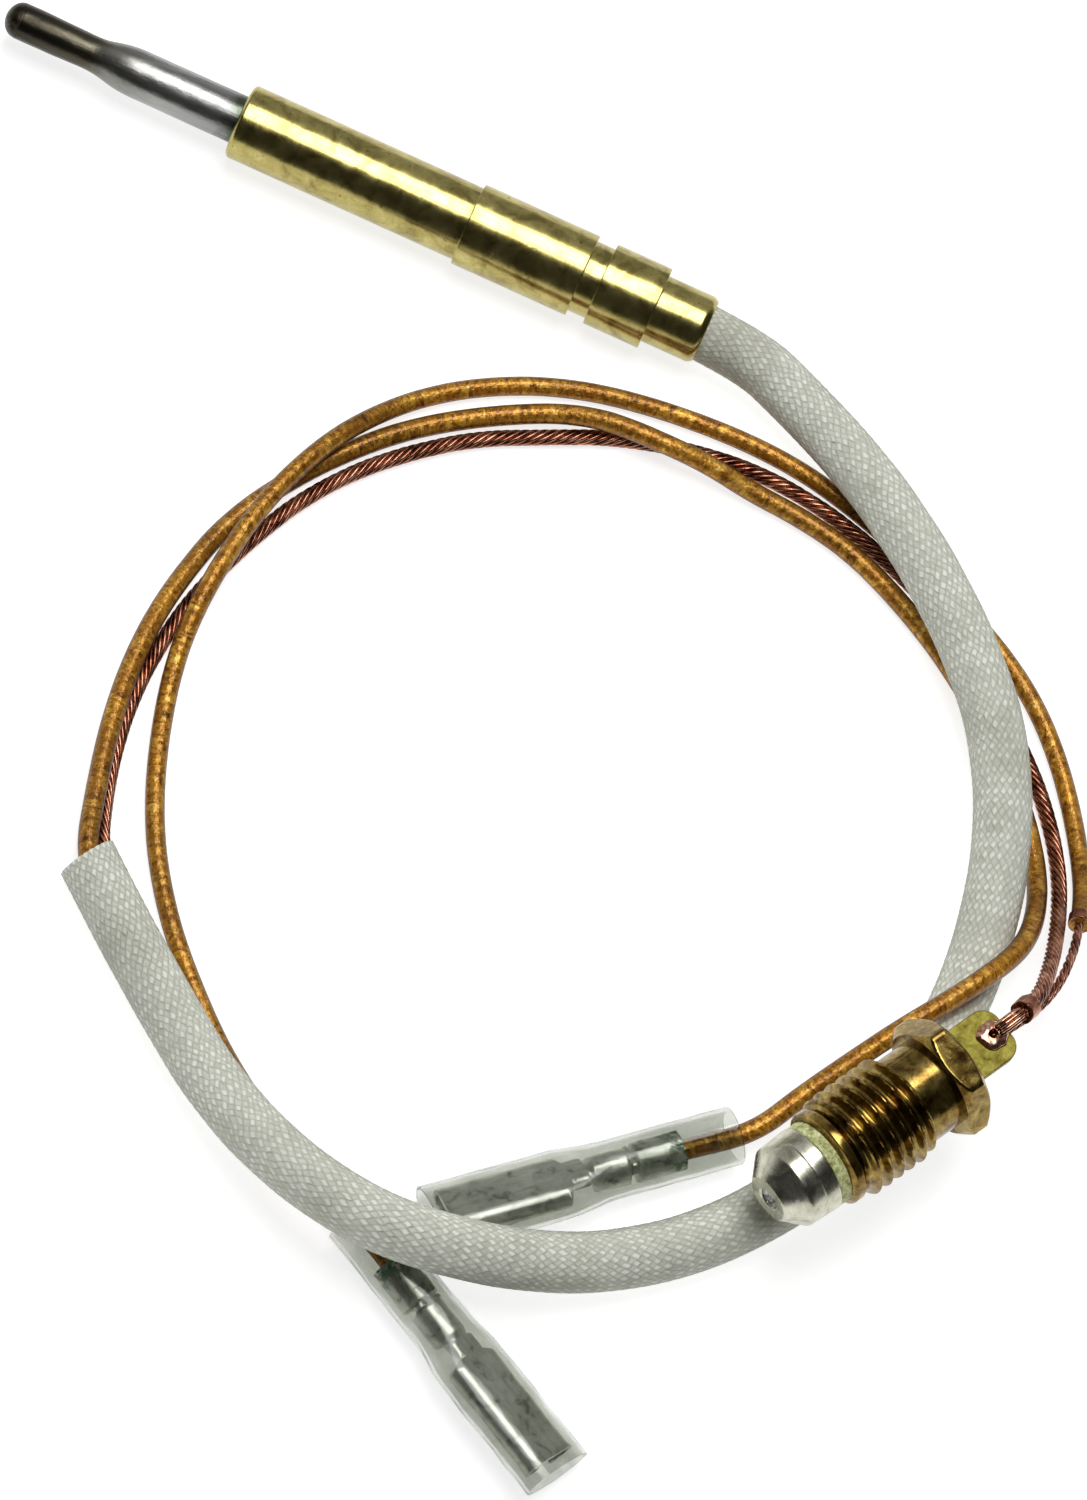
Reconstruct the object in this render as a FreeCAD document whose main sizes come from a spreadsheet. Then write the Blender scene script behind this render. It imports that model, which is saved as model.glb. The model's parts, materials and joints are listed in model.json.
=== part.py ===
import FreeCAD, Part
import math
import os
import re
import Sketcher
from FreeCAD import Placement, Rotation, Vector

# A gas flame-failure thermocouple with interrupter leads, in millimetres, +Z up.
# The probe lies along X with its middle over the origin and its tip at the -X end. Everything stands or
# lies on the plane z = 0: probe, braided sleeve, three leads, threaded connector and two spade receptacles.

doc = FreeCAD.newDocument("thermocouple")

# ---------------------------------------------------------------- driving dimensions
# alias, value, what it is
DIMENSIONS = [
    # probe, measured from the tip along its axis
    ("probe_length", 55.1, "tip to rear face of the brass body"),
    ("nose_radius", 1.35, "sheath at the tip"),
    ("cap_length", 1.3, "weld cap that closes the sheath"),
    ("cap_round", 1.2, "rounding of the weld cap"),
    ("plug_length", 2.2, "weld cap with its plug inside the sheath"),
    ("waist_start", 3.0, "end of the straight nose"),
    ("waist_end", 6.4, "narrowest place of the nose"),
    ("waist_radius", 1.27, "narrowest radius"),
    ("swell_start", 7.4, "start of the swell"),
    ("swell_end", 9.4, "end of the swell"),
    ("swell_start_radius", 1.3, "radius at the start of the swell"),
    ("swell_end_radius", 1.76, "radius at the end of the swell"),
    ("swell_round", 6.0, "rounding of the swell's two edges"),
    ("sheath_length", 26.0, "tip to the sheath's hidden rear end"),
    ("sheath_radius", 1.8, "sheath where it enters the body"),
    ("sheath_bore", 1.0, "inner radius of the sheath"),
    ("core_radius", 0.5, "constantan core wire"),
    ("core_end", 31.0, "rear end of the core wire"),
    ("tube_start", 2.6, "front of the ceramic tube"),
    ("tube_end", 27.0, "rear of the ceramic tube"),
    ("fit_gap", 0.02, "radial gap of pieces that are pressed or brazed together"),
    ("ferrule_start", 29.5, "front of the crimp ferrule"),
    ("ferrule_end", 35.5, "rear of the crimp ferrule"),
    ("ferrule_radius", 0.75, "outer radius of the crimp ferrule"),
    ("joint_sleeve_start", 28.5, "front of the insulation over the ferrule"),
    ("joint_sleeve_end", 37.0, "rear of the insulation over the ferrule"),
    ("joint_sleeve_radius", 1.05, "outer radius of that insulation"),
    ("body_start", 18.4, "front face of the brass body"),
    ("body_step", 36.4, "shoulder between front and main section"),
    ("groove_start", 45.4, "clip groove, front wall"),
    ("groove_end", 46.8, "clip groove, rear wall"),
    ("collar_end", 51.1, "rear wall of the collar"),
    ("front_radius", 2.8, "front section"),
    ("main_radius", 3.1, "main section and collar"),
    ("groove_radius", 2.7, "floor of the clip groove"),
    ("rear_radius", 2.55, "rear neck"),
    ("edge_chamfer", 0.3, "chamfer of the front and rear edges"),
    ("cavity_start", 26.5, "front end of the rear cavity"),
    ("cavity_radius", 2.15, "rear cavity"),
    ("braze_start", 41.0, "return lead's braze, front"),
    ("braze_end", 44.5, "return lead's braze, rear"),
    ("braze_edge", 0.78, "inner edge of the braze, off the axis"),
    ("return_offset", 1.5, "return lead's offset from the axis inside the body"),
    # cords
    ("sleeve_radius", 2.1, "braided sleeve"),
    ("sleeve_bore", 1.75, "braided sleeve, inside"),
    ("lead_a_radius", 0.75, "insulated lead from the probe"),
    ("lead_b_radius", 0.6, "bare return lead"),
    ("lead_c_radius", 0.7, "insulated lead to the connector"),
    ("strand_radius", 0.37, "conductor of an insulated lead"),
    ("lead_bore", 0.4, "insulation, inside"),
    ("lead_a_offset", 0.65, "lead A beside the sleeve's centreline"),
    ("lead_b_offset", 0.9, "lead B beside the sleeve's centreline"),
    ("ferrule_way_out", 38.0, "lead A's first corner behind the ferrule, along the probe"),
    ("return_bend", 46.2, "lead B's first corner behind its braze, along the probe"),
    ("sleeve_start", 49.5, "braided sleeve's front end inside the body, along the probe"),
    ("crimp_band_length", 1.3, "crimp band at the end of lead B"),
    ("crimp_band_wall", 0.28, "crimp band at the end of lead B"),
    ("end_band_length", 0.9, "binding at the end of lead C's insulation"),
    ("end_band_wall", 0.13, "binding at the end of lead C's insulation"),
    ("tail_end", 22.0, "end of lead B's tail, along the connector"),
    ("tail_end_height", 2.45, "end of lead B's tail above the connector's axis"),
    ("splice_way_out", 21.4, "lead C's last corner before the splice, along the connector"),
    ("splice_way_drop", -0.1, "that corner above the connector's axis"),
    ("boot_way_out", 23.6, "lead A's last corner outside sleeve 1, along the sleeve"),
    ("boot_way_side", 0.29, "that corner beside the sleeve's axis"),
    ("boot_way_in", 19.4, "last corner of a lead inside a clear sleeve, along the sleeve"),
    # connector, measured from the contact's face along its axis
    ("connector_x", 55.6, "contact face"),
    ("connector_y", -61.8, "contact face"),
    ("connector_z", 9.1, "height of the connector's axis"),
    ("connector_yaw", 60.6, "direction of the connector's axis"),
    ("contact_face_radius", 1.75, "flat front of the contact"),
    ("contact_cone_end", 1.5, "end of the contact's cone"),
    ("contact_cone_radius", 3.1, "contact behind its cone"),
    ("contact_radius", 3.2, "contact at the washer"),
    ("contact_end", 3.9, "contact's rear face"),
    ("dimple_radius", 0.75, "solder hole in the contact"),
    ("dimple_depth", 1.0, "depth of the solder hole"),
    ("solder_face", 0.35, "solder surface below the contact face"),
    ("washer_radius", 3.15, "insulating washer"),
    ("washer_end", 4.8, "washer's rear face"),
    ("flange_radius", 3.6, "stem's front flange"),
    ("flange_end", 5.7, "flange's rear face"),
    ("stem_radius", 2.2, "stem inside the nut"),
    ("stem_bore", 1.35, "stem, inside"),
    ("stem_end", 17.2, "stem's rear end"),
    ("tab_start", 16.9, "tab, front"),
    ("tab_end", 20.8, "tab, rear"),
    ("tab_width", 4.1, "tab, across"),
    ("tab_height", 1.0, "underside of the tab above the axis"),
    ("tab_thickness", 0.8, "tab"),
    ("tab_round", 1.3, "rounding of the tab's corners"),
    ("tab_hole", 0.7, "radius of the tab's hole"),
    ("tab_hole_at", 19.6, "centre of the tab's hole"),
    ("pin_start", 1.0, "front end of the contact pin"),
    ("pin_end", 18.6, "rear end of the contact pin"),
    ("insulator_end", 16.6, "rear end of the stem's insulator"),
    ("bush_end", 17.6, "rear face of the rear bush"),
    ("splice_start", 17.8, "splice between pin and lead C, front"),
    ("splice_end", 20.2, "splice, rear"),
    ("splice_radius", 0.78, "splice, outside"),
    ("nut_start", 5.9, "nut's front face"),
    ("thread_end", 12.0, "end of the thread"),
    ("hex_start", 14.5, "hexagon, front"),
    ("hex_end", 16.5, "hexagon, rear"),
    ("hex_width", 8.0, "hexagon across its flats"),
    ("hex_corner", 4.55, "radius that the hexagon's corners are turned to"),
    ("hex_chamfer", 0.45, "length of the hexagon's corner chamfers"),
    ("hex_turn", -25.0, "turn of the hexagon about the axis, from a corner on top"),
    ("nut_bore", 2.25, "nut's bore, running on the stem"),
    ("thread_radius", 3.95, "M8 x 1 thread, outside"),
    ("thread_root", 3.38, "M8 x 1 thread, root"),
    ("thread_pitch", 1.0, "M8 x 1 thread"),
    ("thread_crest", 0.16, "width of the thread's crest"),
    ("neck_radius", 3.36, "plain neck between thread and hexagon"),
    # spade receptacles in their clear sleeves, measured from the sleeve's mouth along its axis
    ("boot_length", 22.2, "clear sleeve"),
    ("boot_wall", 0.3, "clear sleeve"),
    ("boot_half_width", 3.0, "flattened front"),
    ("boot_half_height", 1.75, "flattened front"),
    ("boot_radius", 2.15, "round rear"),
    ("boot_flat_end", 9.5, "end of the flattened front"),
    ("boot_round_start", 13.0, "start of the round rear"),
    ("spade_start", 1.0, "receptacle's mouth"),
    ("spade_end", 9.8, "rear of the receptacle's box"),
    ("spade_half_width", 2.15, "receptacle's box"),
    ("spade_floor", 0.95, "underside of the receptacle below the axis"),
    ("spade_sheet", 0.35, "sheet thickness"),
    ("curl_radius", 0.93, "rolled edges"),
    ("curl_gap", 0.7, "half of the gap between the rolled edges"),
    ("blade_half_width", 1.77, "half width of the blade's slot"),
    ("blade_gap", 0.55, "height of the blade's slot"),
    ("lock_hole", 0.45, "radius of the lock hole in the floor"),
    ("lock_at", 5.6, "centre of the lock hole"),
    ("neck_half_width", 1.2, "neck between box and crimp"),
    ("neck_wall", 0.75, "height of the neck's side walls"),
    ("crimp_start", 11.6, "conductor crimp, front"),
    ("crimp_step", 14.3, "end of the conductor crimp"),
    ("crimp_end", 18.2, "insulation crimp, rear"),
    ("wire_crimp_radius", 1.25, "conductor crimp"),
    ("jacket_crimp_radius", 1.4, "insulation crimp"),
    ("jacket_crimp_bore", 0.78, "insulation crimp, inside"),
    ("seam_half_width", 0.1, "half width of the crimp's seam"),
    ("seam_depth", 0.25, "depth of the crimp's seam"),
    ("boot_1_x", 35.6, "mouth of sleeve 1"),
    ("boot_1_y", -70.5, "mouth of sleeve 1"),
    ("boot_1_z", 2.15, "height of sleeve 1's axis"),
    ("boot_1_yaw", 41.9, "direction from the mouth of sleeve 1 to its rear"),
    ("boot_1_roll", 150.0, "roll of sleeve 1 about its axis"),
    ("boot_2_x", 50.2, "mouth of sleeve 2"),
    ("boot_2_y", -83.4, "mouth of sleeve 2"),
    ("boot_2_z", 2.36, "height of sleeve 2's axis"),
    ("boot_2_yaw", 151.3, "direction from the mouth of sleeve 2 to its rear"),
    ("boot_2_roll", 208.0, "roll of sleeve 2 about its axis"),
]

sizes = doc.addObject("Spreadsheet::Sheet", "sizes")
for row, (alias, size, meaning) in enumerate(DIMENSIONS, start=1):
    sizes.set("A%d" % row, meaning)
    sizes.set("B%d" % row, str(size))
    sizes.setAlias("B%d" % row, alias)
workings = doc.addObject("Spreadsheet::Sheet", "workings")
doc.recompute()
ALIASES = {alias for alias, size, meaning in DIMENSIONS}


def cells(text):
    """An expression that names the sheet's aliases, such as "hex_end - hex_start"."""
    return re.sub(r"[a-z]\w*", lambda word: "sizes." + word[0] if word[0] in ALIASES else word[0], text)


def value(text):
    """The number that such an expression gives now."""
    workings.set("A1", "=" + cells(text))
    workings.recompute()
    return float(workings.get("A1"))


def bind(item, expressions):
    for prop, text in expressions.items():
        item.setExpression(prop, cells(text))
    return item


# ---------------------------------------------------------------- places
# Each group of pieces is drawn in its own frame, with its axis along local X, and is moved as a whole.
PROBE = "placement(vector(-probe_length / 2; 0; main_radius); rotation(0; 0; 0))"
CONNECTOR = "placement(vector(connector_x; connector_y; connector_z); rotation(connector_yaw; 0; 0))"
BOOT = "placement(vector(boot_%d_x; boot_%d_y; boot_%d_z); rotation(boot_%d_yaw; 0; boot_%d_roll))"
ALONG_X = Rotation(Vector(0, 1, 0), 90)           # turns a primitive's own Z to X
ACROSS_X = Rotation(Vector(1, 1, 1), 120)         # turns X, Y, Z to Y, Z, X: a section square to X

SUBPARTS = []                                     # the finished pieces, one file each


def finish(item, label, place=None):
    """Names a finished piece, puts it in its place and keeps it for the files."""
    item.Label = label
    if place:
        bind(item, {"Placement": place})
    SUBPARTS.append(item)
    return item


# ---------------------------------------------------------------- builders
def cylinder(name, radius, start, end, y="0", z="0"):
    """A cylinder along local X from start to end."""
    item = doc.addObject("Part::Cylinder", name)
    item.Placement = Placement(Vector(0, 0, 0), ALONG_X)
    return bind(item, {"Radius": radius, "Height": "(%s) - (%s)" % (end, start),
                       "Placement.Base.x": start, "Placement.Base.y": y, "Placement.Base.z": z})


def box(name, x, y, z):
    """A box from the low to the high value of each pair."""
    item = doc.addObject("Part::Box", name)
    for prop, side, (low, high) in (("Length", "x", x), ("Width", "y", y), ("Height", "z", z)):
        bind(item, {prop: "(%s) - (%s)" % (high, low), "Placement.Base." + side: low})
    return item


def cut(name, base, tool):
    item = doc.addObject("Part::Cut", name)
    item.Base, item.Tool = base, tool
    return item


def fuse(name, items):
    item = doc.addObject("Part::MultiFuse", name)
    item.Shapes = items
    return item


def common(name, items):
    item = doc.addObject("Part::MultiCommon", name)
    item.Shapes = items
    return item


def ring(name, outer, inner, start, end):
    """A plain tube along local X."""
    outside = cylinder(name + "_outside", outer, start, end)
    return cut(name, outside, cylinder(name + "_bore", inner, start, end))


def outline_sketch(body, name, corners):
    """A closed outline of (distance along X, radius) corners on the body's XY plane, bound to the sheet."""
    plane = [item for item in body.Origin.OriginFeatures if item.Role == "XY_Plane"][0]
    sketch = body.newObject("Sketcher::SketchObject", name)
    sketch.AttachmentSupport = [(plane, "")]
    sketch.MapMode = "FlatFace"
    points = [Vector(value(along), value(radius), 0) for along, radius in corners]
    for index, point in enumerate(points):
        sketch.addGeometry(Part.LineSegment(point, points[(index + 1) % len(points)]), False)
    for index, (along, radius) in enumerate(corners):
        sketch.addConstraint(Sketcher.Constraint("Coincident", index - 1 if index else len(corners) - 1, 2,
                                                 index, 1))
        for kind, text, axis in (("DistanceX", along, -2), ("DistanceY", radius, -1)):
            if abs(value(text)) < 1e-9:
                sketch.addConstraint(Sketcher.Constraint("PointOnObject", index, 1, axis))
            else:
                spot = sketch.addConstraint(Sketcher.Constraint(kind, -1, 1, index, 1, value(text)))
                sketch.setExpression("Constraints[%d]" % spot, cells(text))
    return sketch


def edge_at(shape, along, radius):
    """The name of the round edge about X at a distance along it with a radius."""
    for index, edge in enumerate(shape.Edges, start=1):
        curve = edge.Curve
        if isinstance(curve, Part.Circle) and abs(curve.Radius - radius) < 1e-4:
            if abs(curve.Center.x - along) < 1e-4:
                return "Edge%d" % index
    raise ValueError("no round edge at %g with radius %g" % (along, radius))


def turned(name, corners, rounds=()):
    """A body spun about X from its outline; rounds are (along, radius, rounding) for edges to round."""
    body = doc.addObject("PartDesign::Body", name)
    sketch = outline_sketch(body, name + "_outline", corners)
    spin = body.newObject("PartDesign::Revolution", name + "_spin")
    spin.Profile = sketch
    spin.ReferenceAxis = (sketch, ["H_Axis"])
    spin.Angle = 360
    doc.recompute()
    for number, (along, radius, rounding) in enumerate(rounds):
        tip = body.Tip
        fillet = body.newObject("PartDesign::Fillet", "%s_round_%d" % (name, number))
        fillet.Base = (tip, [edge_at(tip.Shape, value(along), value(radius))])
        bind(fillet, {"Radius": rounding})
        doc.recompute()
    return body


def tube_path(points):
    """Straight runs joined by tangent arcs, each arc as large as its two runs allow; and the arcs' radii."""
    edges = []
    radii = []
    start = points[0]
    for before, corner, after in zip(points, points[1:], points[2:]):
        back = (before - corner).normalize()
        ahead = (after - corner).normalize()
        half_turn = (math.pi - back.getAngle(ahead)) / 2
        reach = 0.45 * min(corner.distanceToPoint(before), corner.distanceToPoint(after))
        radius = reach / math.tan(half_turn)
        middle_way = (back + ahead).normalize()
        middle = corner + middle_way * (radius / math.cos(half_turn) - radius)
        arc_start = corner + back * reach
        arc_end = corner + ahead * reach
        edges.append(Part.LineSegment(start, arc_start).toShape())
        edges.append(Part.Arc(arc_start, middle, arc_end).toShape())
        radii.append(radius)
        start = arc_end
    edges.append(Part.LineSegment(start, points[-1]).toShape())
    return Part.Wire(edges), radii


def tube(label, points, radius, bore=None):
    """A cord's solid along its path, hollow where a bore is given; it prints the path's radii."""
    path, radii = tube_path(points)
    ahead = (points[1] - points[0]).normalize()
    section = math.pi * value(radius) ** 2
    outside = Part.Wire([Part.makeCircle(value(radius), points[0], ahead)])
    solid = path.makePipeShell([outside], True, False)
    if bore:
        inside = Part.Wire([Part.makeCircle(value(bore), points[0], ahead)])
        solid = solid.cut(path.makePipeShell([inside], True, False))
        section -= math.pi * value(bore) ** 2
    item = doc.addObject("Part::Feature", label)
    item.Shape = solid if solid.ShapeType == "Solid" else solid.Solids[0]
    error = item.Shape.Volume / (section * path.Length) - 1
    print("%-20s length %6.1f  volume error %+.4f  smallest radius %5.1f  radii %s"
          % (label, path.Length, error, min(radii), " ".join("%.0f" % size for size in radii)))
    return finish(item, label)


def beside(points, offset):
    """The same route moved sideways in the plane, to the left of its way for a positive offset."""
    moved = []
    for index, point in enumerate(points):
        ahead = points[min(index + 1, len(points) - 1)] - points[max(index - 1, 0)]
        left = Vector(-ahead.y, ahead.x, 0).normalize()
        moved.append(point + left * offset)
    return moved


def along_probe(distance, sideways=0.0):
    """A point on the probe's axis at a distance from its tip."""
    return Vector(distance - value("probe_length") / 2, sideways, value("main_radius"))


def in_place(place_of, along, sideways=0.0, upward=0.0):
    """A point given in a finished piece's own frame."""
    return place_of.Placement.multVec(Vector(along, sideways, upward))


# ---------------------------------------------------------------- probe
finish(turned("hot_junction_cap", [
    ("0", "0"), ("0", "nose_radius"), ("cap_length", "nose_radius"),
    ("cap_length", "sheath_bore - fit_gap"), ("plug_length", "sheath_bore - fit_gap"), ("plug_length", "0")],
    rounds=[("0", "nose_radius", "cap_round")]), "hot_junction_cap", PROBE)

finish(turned("sensing_sheath", [
    ("cap_length", "sheath_bore"), ("cap_length", "nose_radius"), ("waist_start", "nose_radius"),
    ("waist_end", "waist_radius"), ("swell_start", "swell_start_radius"), ("swell_end", "swell_end_radius"),
    ("sheath_length", "sheath_radius"), ("sheath_length", "sheath_bore")],
    rounds=[("swell_start", "swell_start_radius", "swell_round"),
            ("swell_end", "swell_end_radius", "swell_round")]), "sensing_sheath", PROBE)

finish(cylinder("core_wire", "core_radius", "plug_length - probe_length / 2", "core_end - probe_length / 2",
                z="main_radius"), "constantan_core")
finish(ring("core_tube", "sheath_bore - 2 * fit_gap", "core_radius + fit_gap", "tube_start", "tube_end"),
       "core_insulator", PROBE)
finish(ring("core_crimp", "ferrule_radius", "core_radius + fit_gap", "ferrule_start", "ferrule_end"),
       "core_ferrule", PROBE)
finish(ring("core_crimp_cover", "joint_sleeve_radius", "ferrule_radius + fit_gap", "joint_sleeve_start",
            "joint_sleeve_end"), "ferrule_insulation", PROBE)

probe_body = finish(turned("probe_body", [
    ("body_start", "sheath_radius + fit_gap"), ("body_start", "front_radius - edge_chamfer"),
    ("body_start + edge_chamfer", "front_radius"), ("body_step", "front_radius"),
    ("body_step", "main_radius"), ("groove_start", "main_radius"), ("groove_start", "groove_radius"),
    ("groove_end", "groove_radius"), ("groove_end", "main_radius"), ("collar_end", "main_radius"),
    ("collar_end", "rear_radius"), ("probe_length - edge_chamfer", "rear_radius"),
    ("probe_length", "rear_radius - edge_chamfer"), ("probe_length", "cavity_radius"),
    ("cavity_start", "cavity_radius"), ("cavity_start", "sheath_radius + fit_gap")]), "probe_body", PROBE)

braze_pool = common("braze_pool", [
    cylinder("braze_round", "cavity_radius - fit_gap", "braze_start", "braze_end"),
    box("braze_side", ("braze_start", "braze_end"), ("-cavity_radius", "-braze_edge"),
        ("-cavity_radius", "cavity_radius"))])
finish(cut("return_braze_cut", braze_pool, cylinder("braze_hole", "lead_b_radius + fit_gap", "braze_start",
                                                    "braze_end", y="-return_offset")),
       "return_lead_braze", PROBE)

# ---------------------------------------------------------------- connector
stem_tube = fuse("stem_tube", [
    turned("stem_turned", [
        ("washer_end", "stem_bore"), ("washer_end", "washer_radius"), ("washer_end + edge_chamfer",
                                                                     "flange_radius"),
        ("flange_end", "flange_radius"), ("flange_end", "stem_radius"), ("stem_end", "stem_radius"),
        ("stem_end", "stem_bore")]),
    box("stem_tab", ("tab_start", "tab_end"), ("-tab_width / 2", "tab_width / 2"),
        ("tab_height", "tab_height + tab_thickness"))])
tab_hole = doc.addObject("Part::Cylinder", "tab_hole")
bind(tab_hole, {"Radius": "tab_hole", "Height": "tab_thickness + 2", "Placement.Base.x": "tab_hole_at",
                "Placement.Base.z": "tab_height - 1"})
bush_room = cylinder("bush_room", "stem_bore", "tab_start - 1", "bush_end + 0.1")
stem_drilled = cut("stem_drilled", stem_tube, fuse("stem_hollows", [tab_hole, bush_room]))
doc.recompute()
tab_corners = doc.addObject("Part::Fillet", "tab_corners")
tab_corners.Base = stem_drilled
tab_corners.Edges = [
    (index, value("tab_round"), value("tab_round"))
    for index, edge in enumerate(stem_drilled.Shape.Edges, start=1)
    if isinstance(edge.Curve, Part.Line) and edge.BoundBox.XMin > value("tab_end") - 0.01
    and edge.BoundBox.ZLength > 0.5]
connector_stem = finish(tab_corners, "connector_stem", CONNECTOR)

finish(turned("contact", [
    ("0", "dimple_radius"), ("0", "contact_face_radius"), ("contact_cone_end", "contact_cone_radius"),
    ("contact_end", "contact_radius"), ("contact_end", "core_radius + fit_gap"),
    ("dimple_depth", "core_radius + fit_gap"), ("dimple_depth", "dimple_radius")]),
    "contact_cone", CONNECTOR)
finish(turned("solder", [
    ("solder_face", "0"), ("solder_face", "dimple_radius - fit_gap"),
    ("dimple_depth", "dimple_radius - fit_gap"), ("dimple_depth", "0")]), "contact_solder", CONNECTOR)
finish(ring("washer", "washer_radius", "stem_bore", "contact_end", "washer_end"),
       "insulating_washer", CONNECTOR)
finish(ring("stem_lining", "stem_bore - fit_gap", "core_radius + fit_gap", "contact_end", "insulator_end"),
       "stem_insulator", CONNECTOR)
finish(turned("pin", [
    ("pin_start", "0"), ("pin_start", "core_radius"), ("pin_end", "core_radius"), ("pin_end", "0")]),
    "contact_pin", CONNECTOR)
finish(ring("bush", "stem_bore - fit_gap", "core_radius + fit_gap", "insulator_end", "bush_end"),
       "rear_bush", CONNECTOR)
finish(ring("splice", "splice_radius", "core_radius + fit_gap", "splice_start", "splice_end"),
       "pin_splice", CONNECTOR)

nut_blank = turned("nut_turned", [
    ("nut_start", "nut_bore"), ("nut_start", "thread_root"),
    ("nut_start + thread_radius - thread_root", "thread_radius"),
    ("thread_end - thread_pitch / 2", "thread_radius"), ("thread_end", "neck_radius"),
    ("hex_start", "neck_radius"), ("hex_start", "nut_bore")])


def thread_groove(body):
    """Cuts the V-shaped helical groove of the thread."""
    plane = [item for item in body.Origin.OriginFeatures if item.Role == "XY_Plane"][0]
    sketch = body.newObject("Sketcher::SketchObject", "thread_profile")
    sketch.AttachmentSupport = [(plane, "")]
    sketch.MapMode = "FlatFace"
    lead_in = value("nut_start - thread_pitch")
    outer = value("thread_radius") + 0.2
    root = value("thread_root")
    half_mouth = (value("thread_pitch") - value("thread_crest")) / 2 * (outer - root) / (
        value("thread_radius") - root)
    corners = [Vector(lead_in - half_mouth, outer, 0), Vector(lead_in, root, 0),
               Vector(lead_in + half_mouth, outer, 0)]
    for index, corner in enumerate(corners):
        sketch.addGeometry(Part.LineSegment(corner, corners[(index + 1) % 3]), False)
    for index in range(3):
        sketch.addConstraint(Sketcher.Constraint("Coincident", index, 2, (index + 1) % 3, 1))
    helix = body.newObject("PartDesign::SubtractiveHelix", "thread_groove")
    helix.Profile = sketch
    helix.ReferenceAxis = (sketch, ["H_Axis"])
    helix.Mode = 0
    bind(helix, {"Pitch": "thread_pitch", "Height": "thread_end - nut_start + thread_pitch / 2"})
    doc.recompute()
    return body


thread_groove(nut_blank)
hexagon = doc.addObject("Part::Prism", "hexagon")
hexagon.Polygon = 6
hexagon.Placement = Placement(Vector(0, 0, 0), Rotation(Vector(1, 0, 0), value("hex_turn")).multiply(ALONG_X))
bind(hexagon, {"Circumradius": "hex_width / sqrt(3)", "Height": "hex_end - hex_start",
               "Placement.Base.x": "hex_start"})
hex_turned = turned("hex_turned", [
    ("hex_start", "nut_bore"), ("hex_start", "hex_width / 2"),
    ("hex_start + hex_chamfer", "hex_corner"), ("hex_end - hex_chamfer", "hex_corner"),
    ("hex_end", "hex_width / 2"), ("hex_end", "nut_bore")])
connector_nut = finish(fuse("nut", [nut_blank, common("hex_head", [hexagon, hex_turned])]),
                       "connector_nut", CONNECTOR)


# ---------------------------------------------------------------- spade receptacles and their clear sleeves
def oval(name, half_width, half_height, along):
    """An ellipse square to local X, wide along Y."""
    item = doc.addObject("Part::Ellipse", name)
    item.Placement = Placement(Vector(0, 0, 0), ACROSS_X)
    return bind(item, {"MajorRadius": half_width, "MinorRadius": half_height, "Placement.Base.x": along})


def boot_loft(name, wall):
    """The clear sleeve's outside, or its inside, from its flattened front to its round rear."""
    item = doc.addObject("Part::Loft", name)
    flat = ("boot_half_width" + wall, "boot_half_height" + wall)
    rear = ("boot_radius" + wall, "boot_radius" + wall + " - 0.001")
    item.Sections = [oval(name + "_mouth", *flat, "0"), oval(name + "_flat", *flat, "boot_flat_end"),
                     oval(name + "_round", *rear, "boot_round_start"),
                     oval(name + "_rear", *rear, "boot_length")]
    item.Solid = True
    item.Ruled = True
    return item


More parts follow.
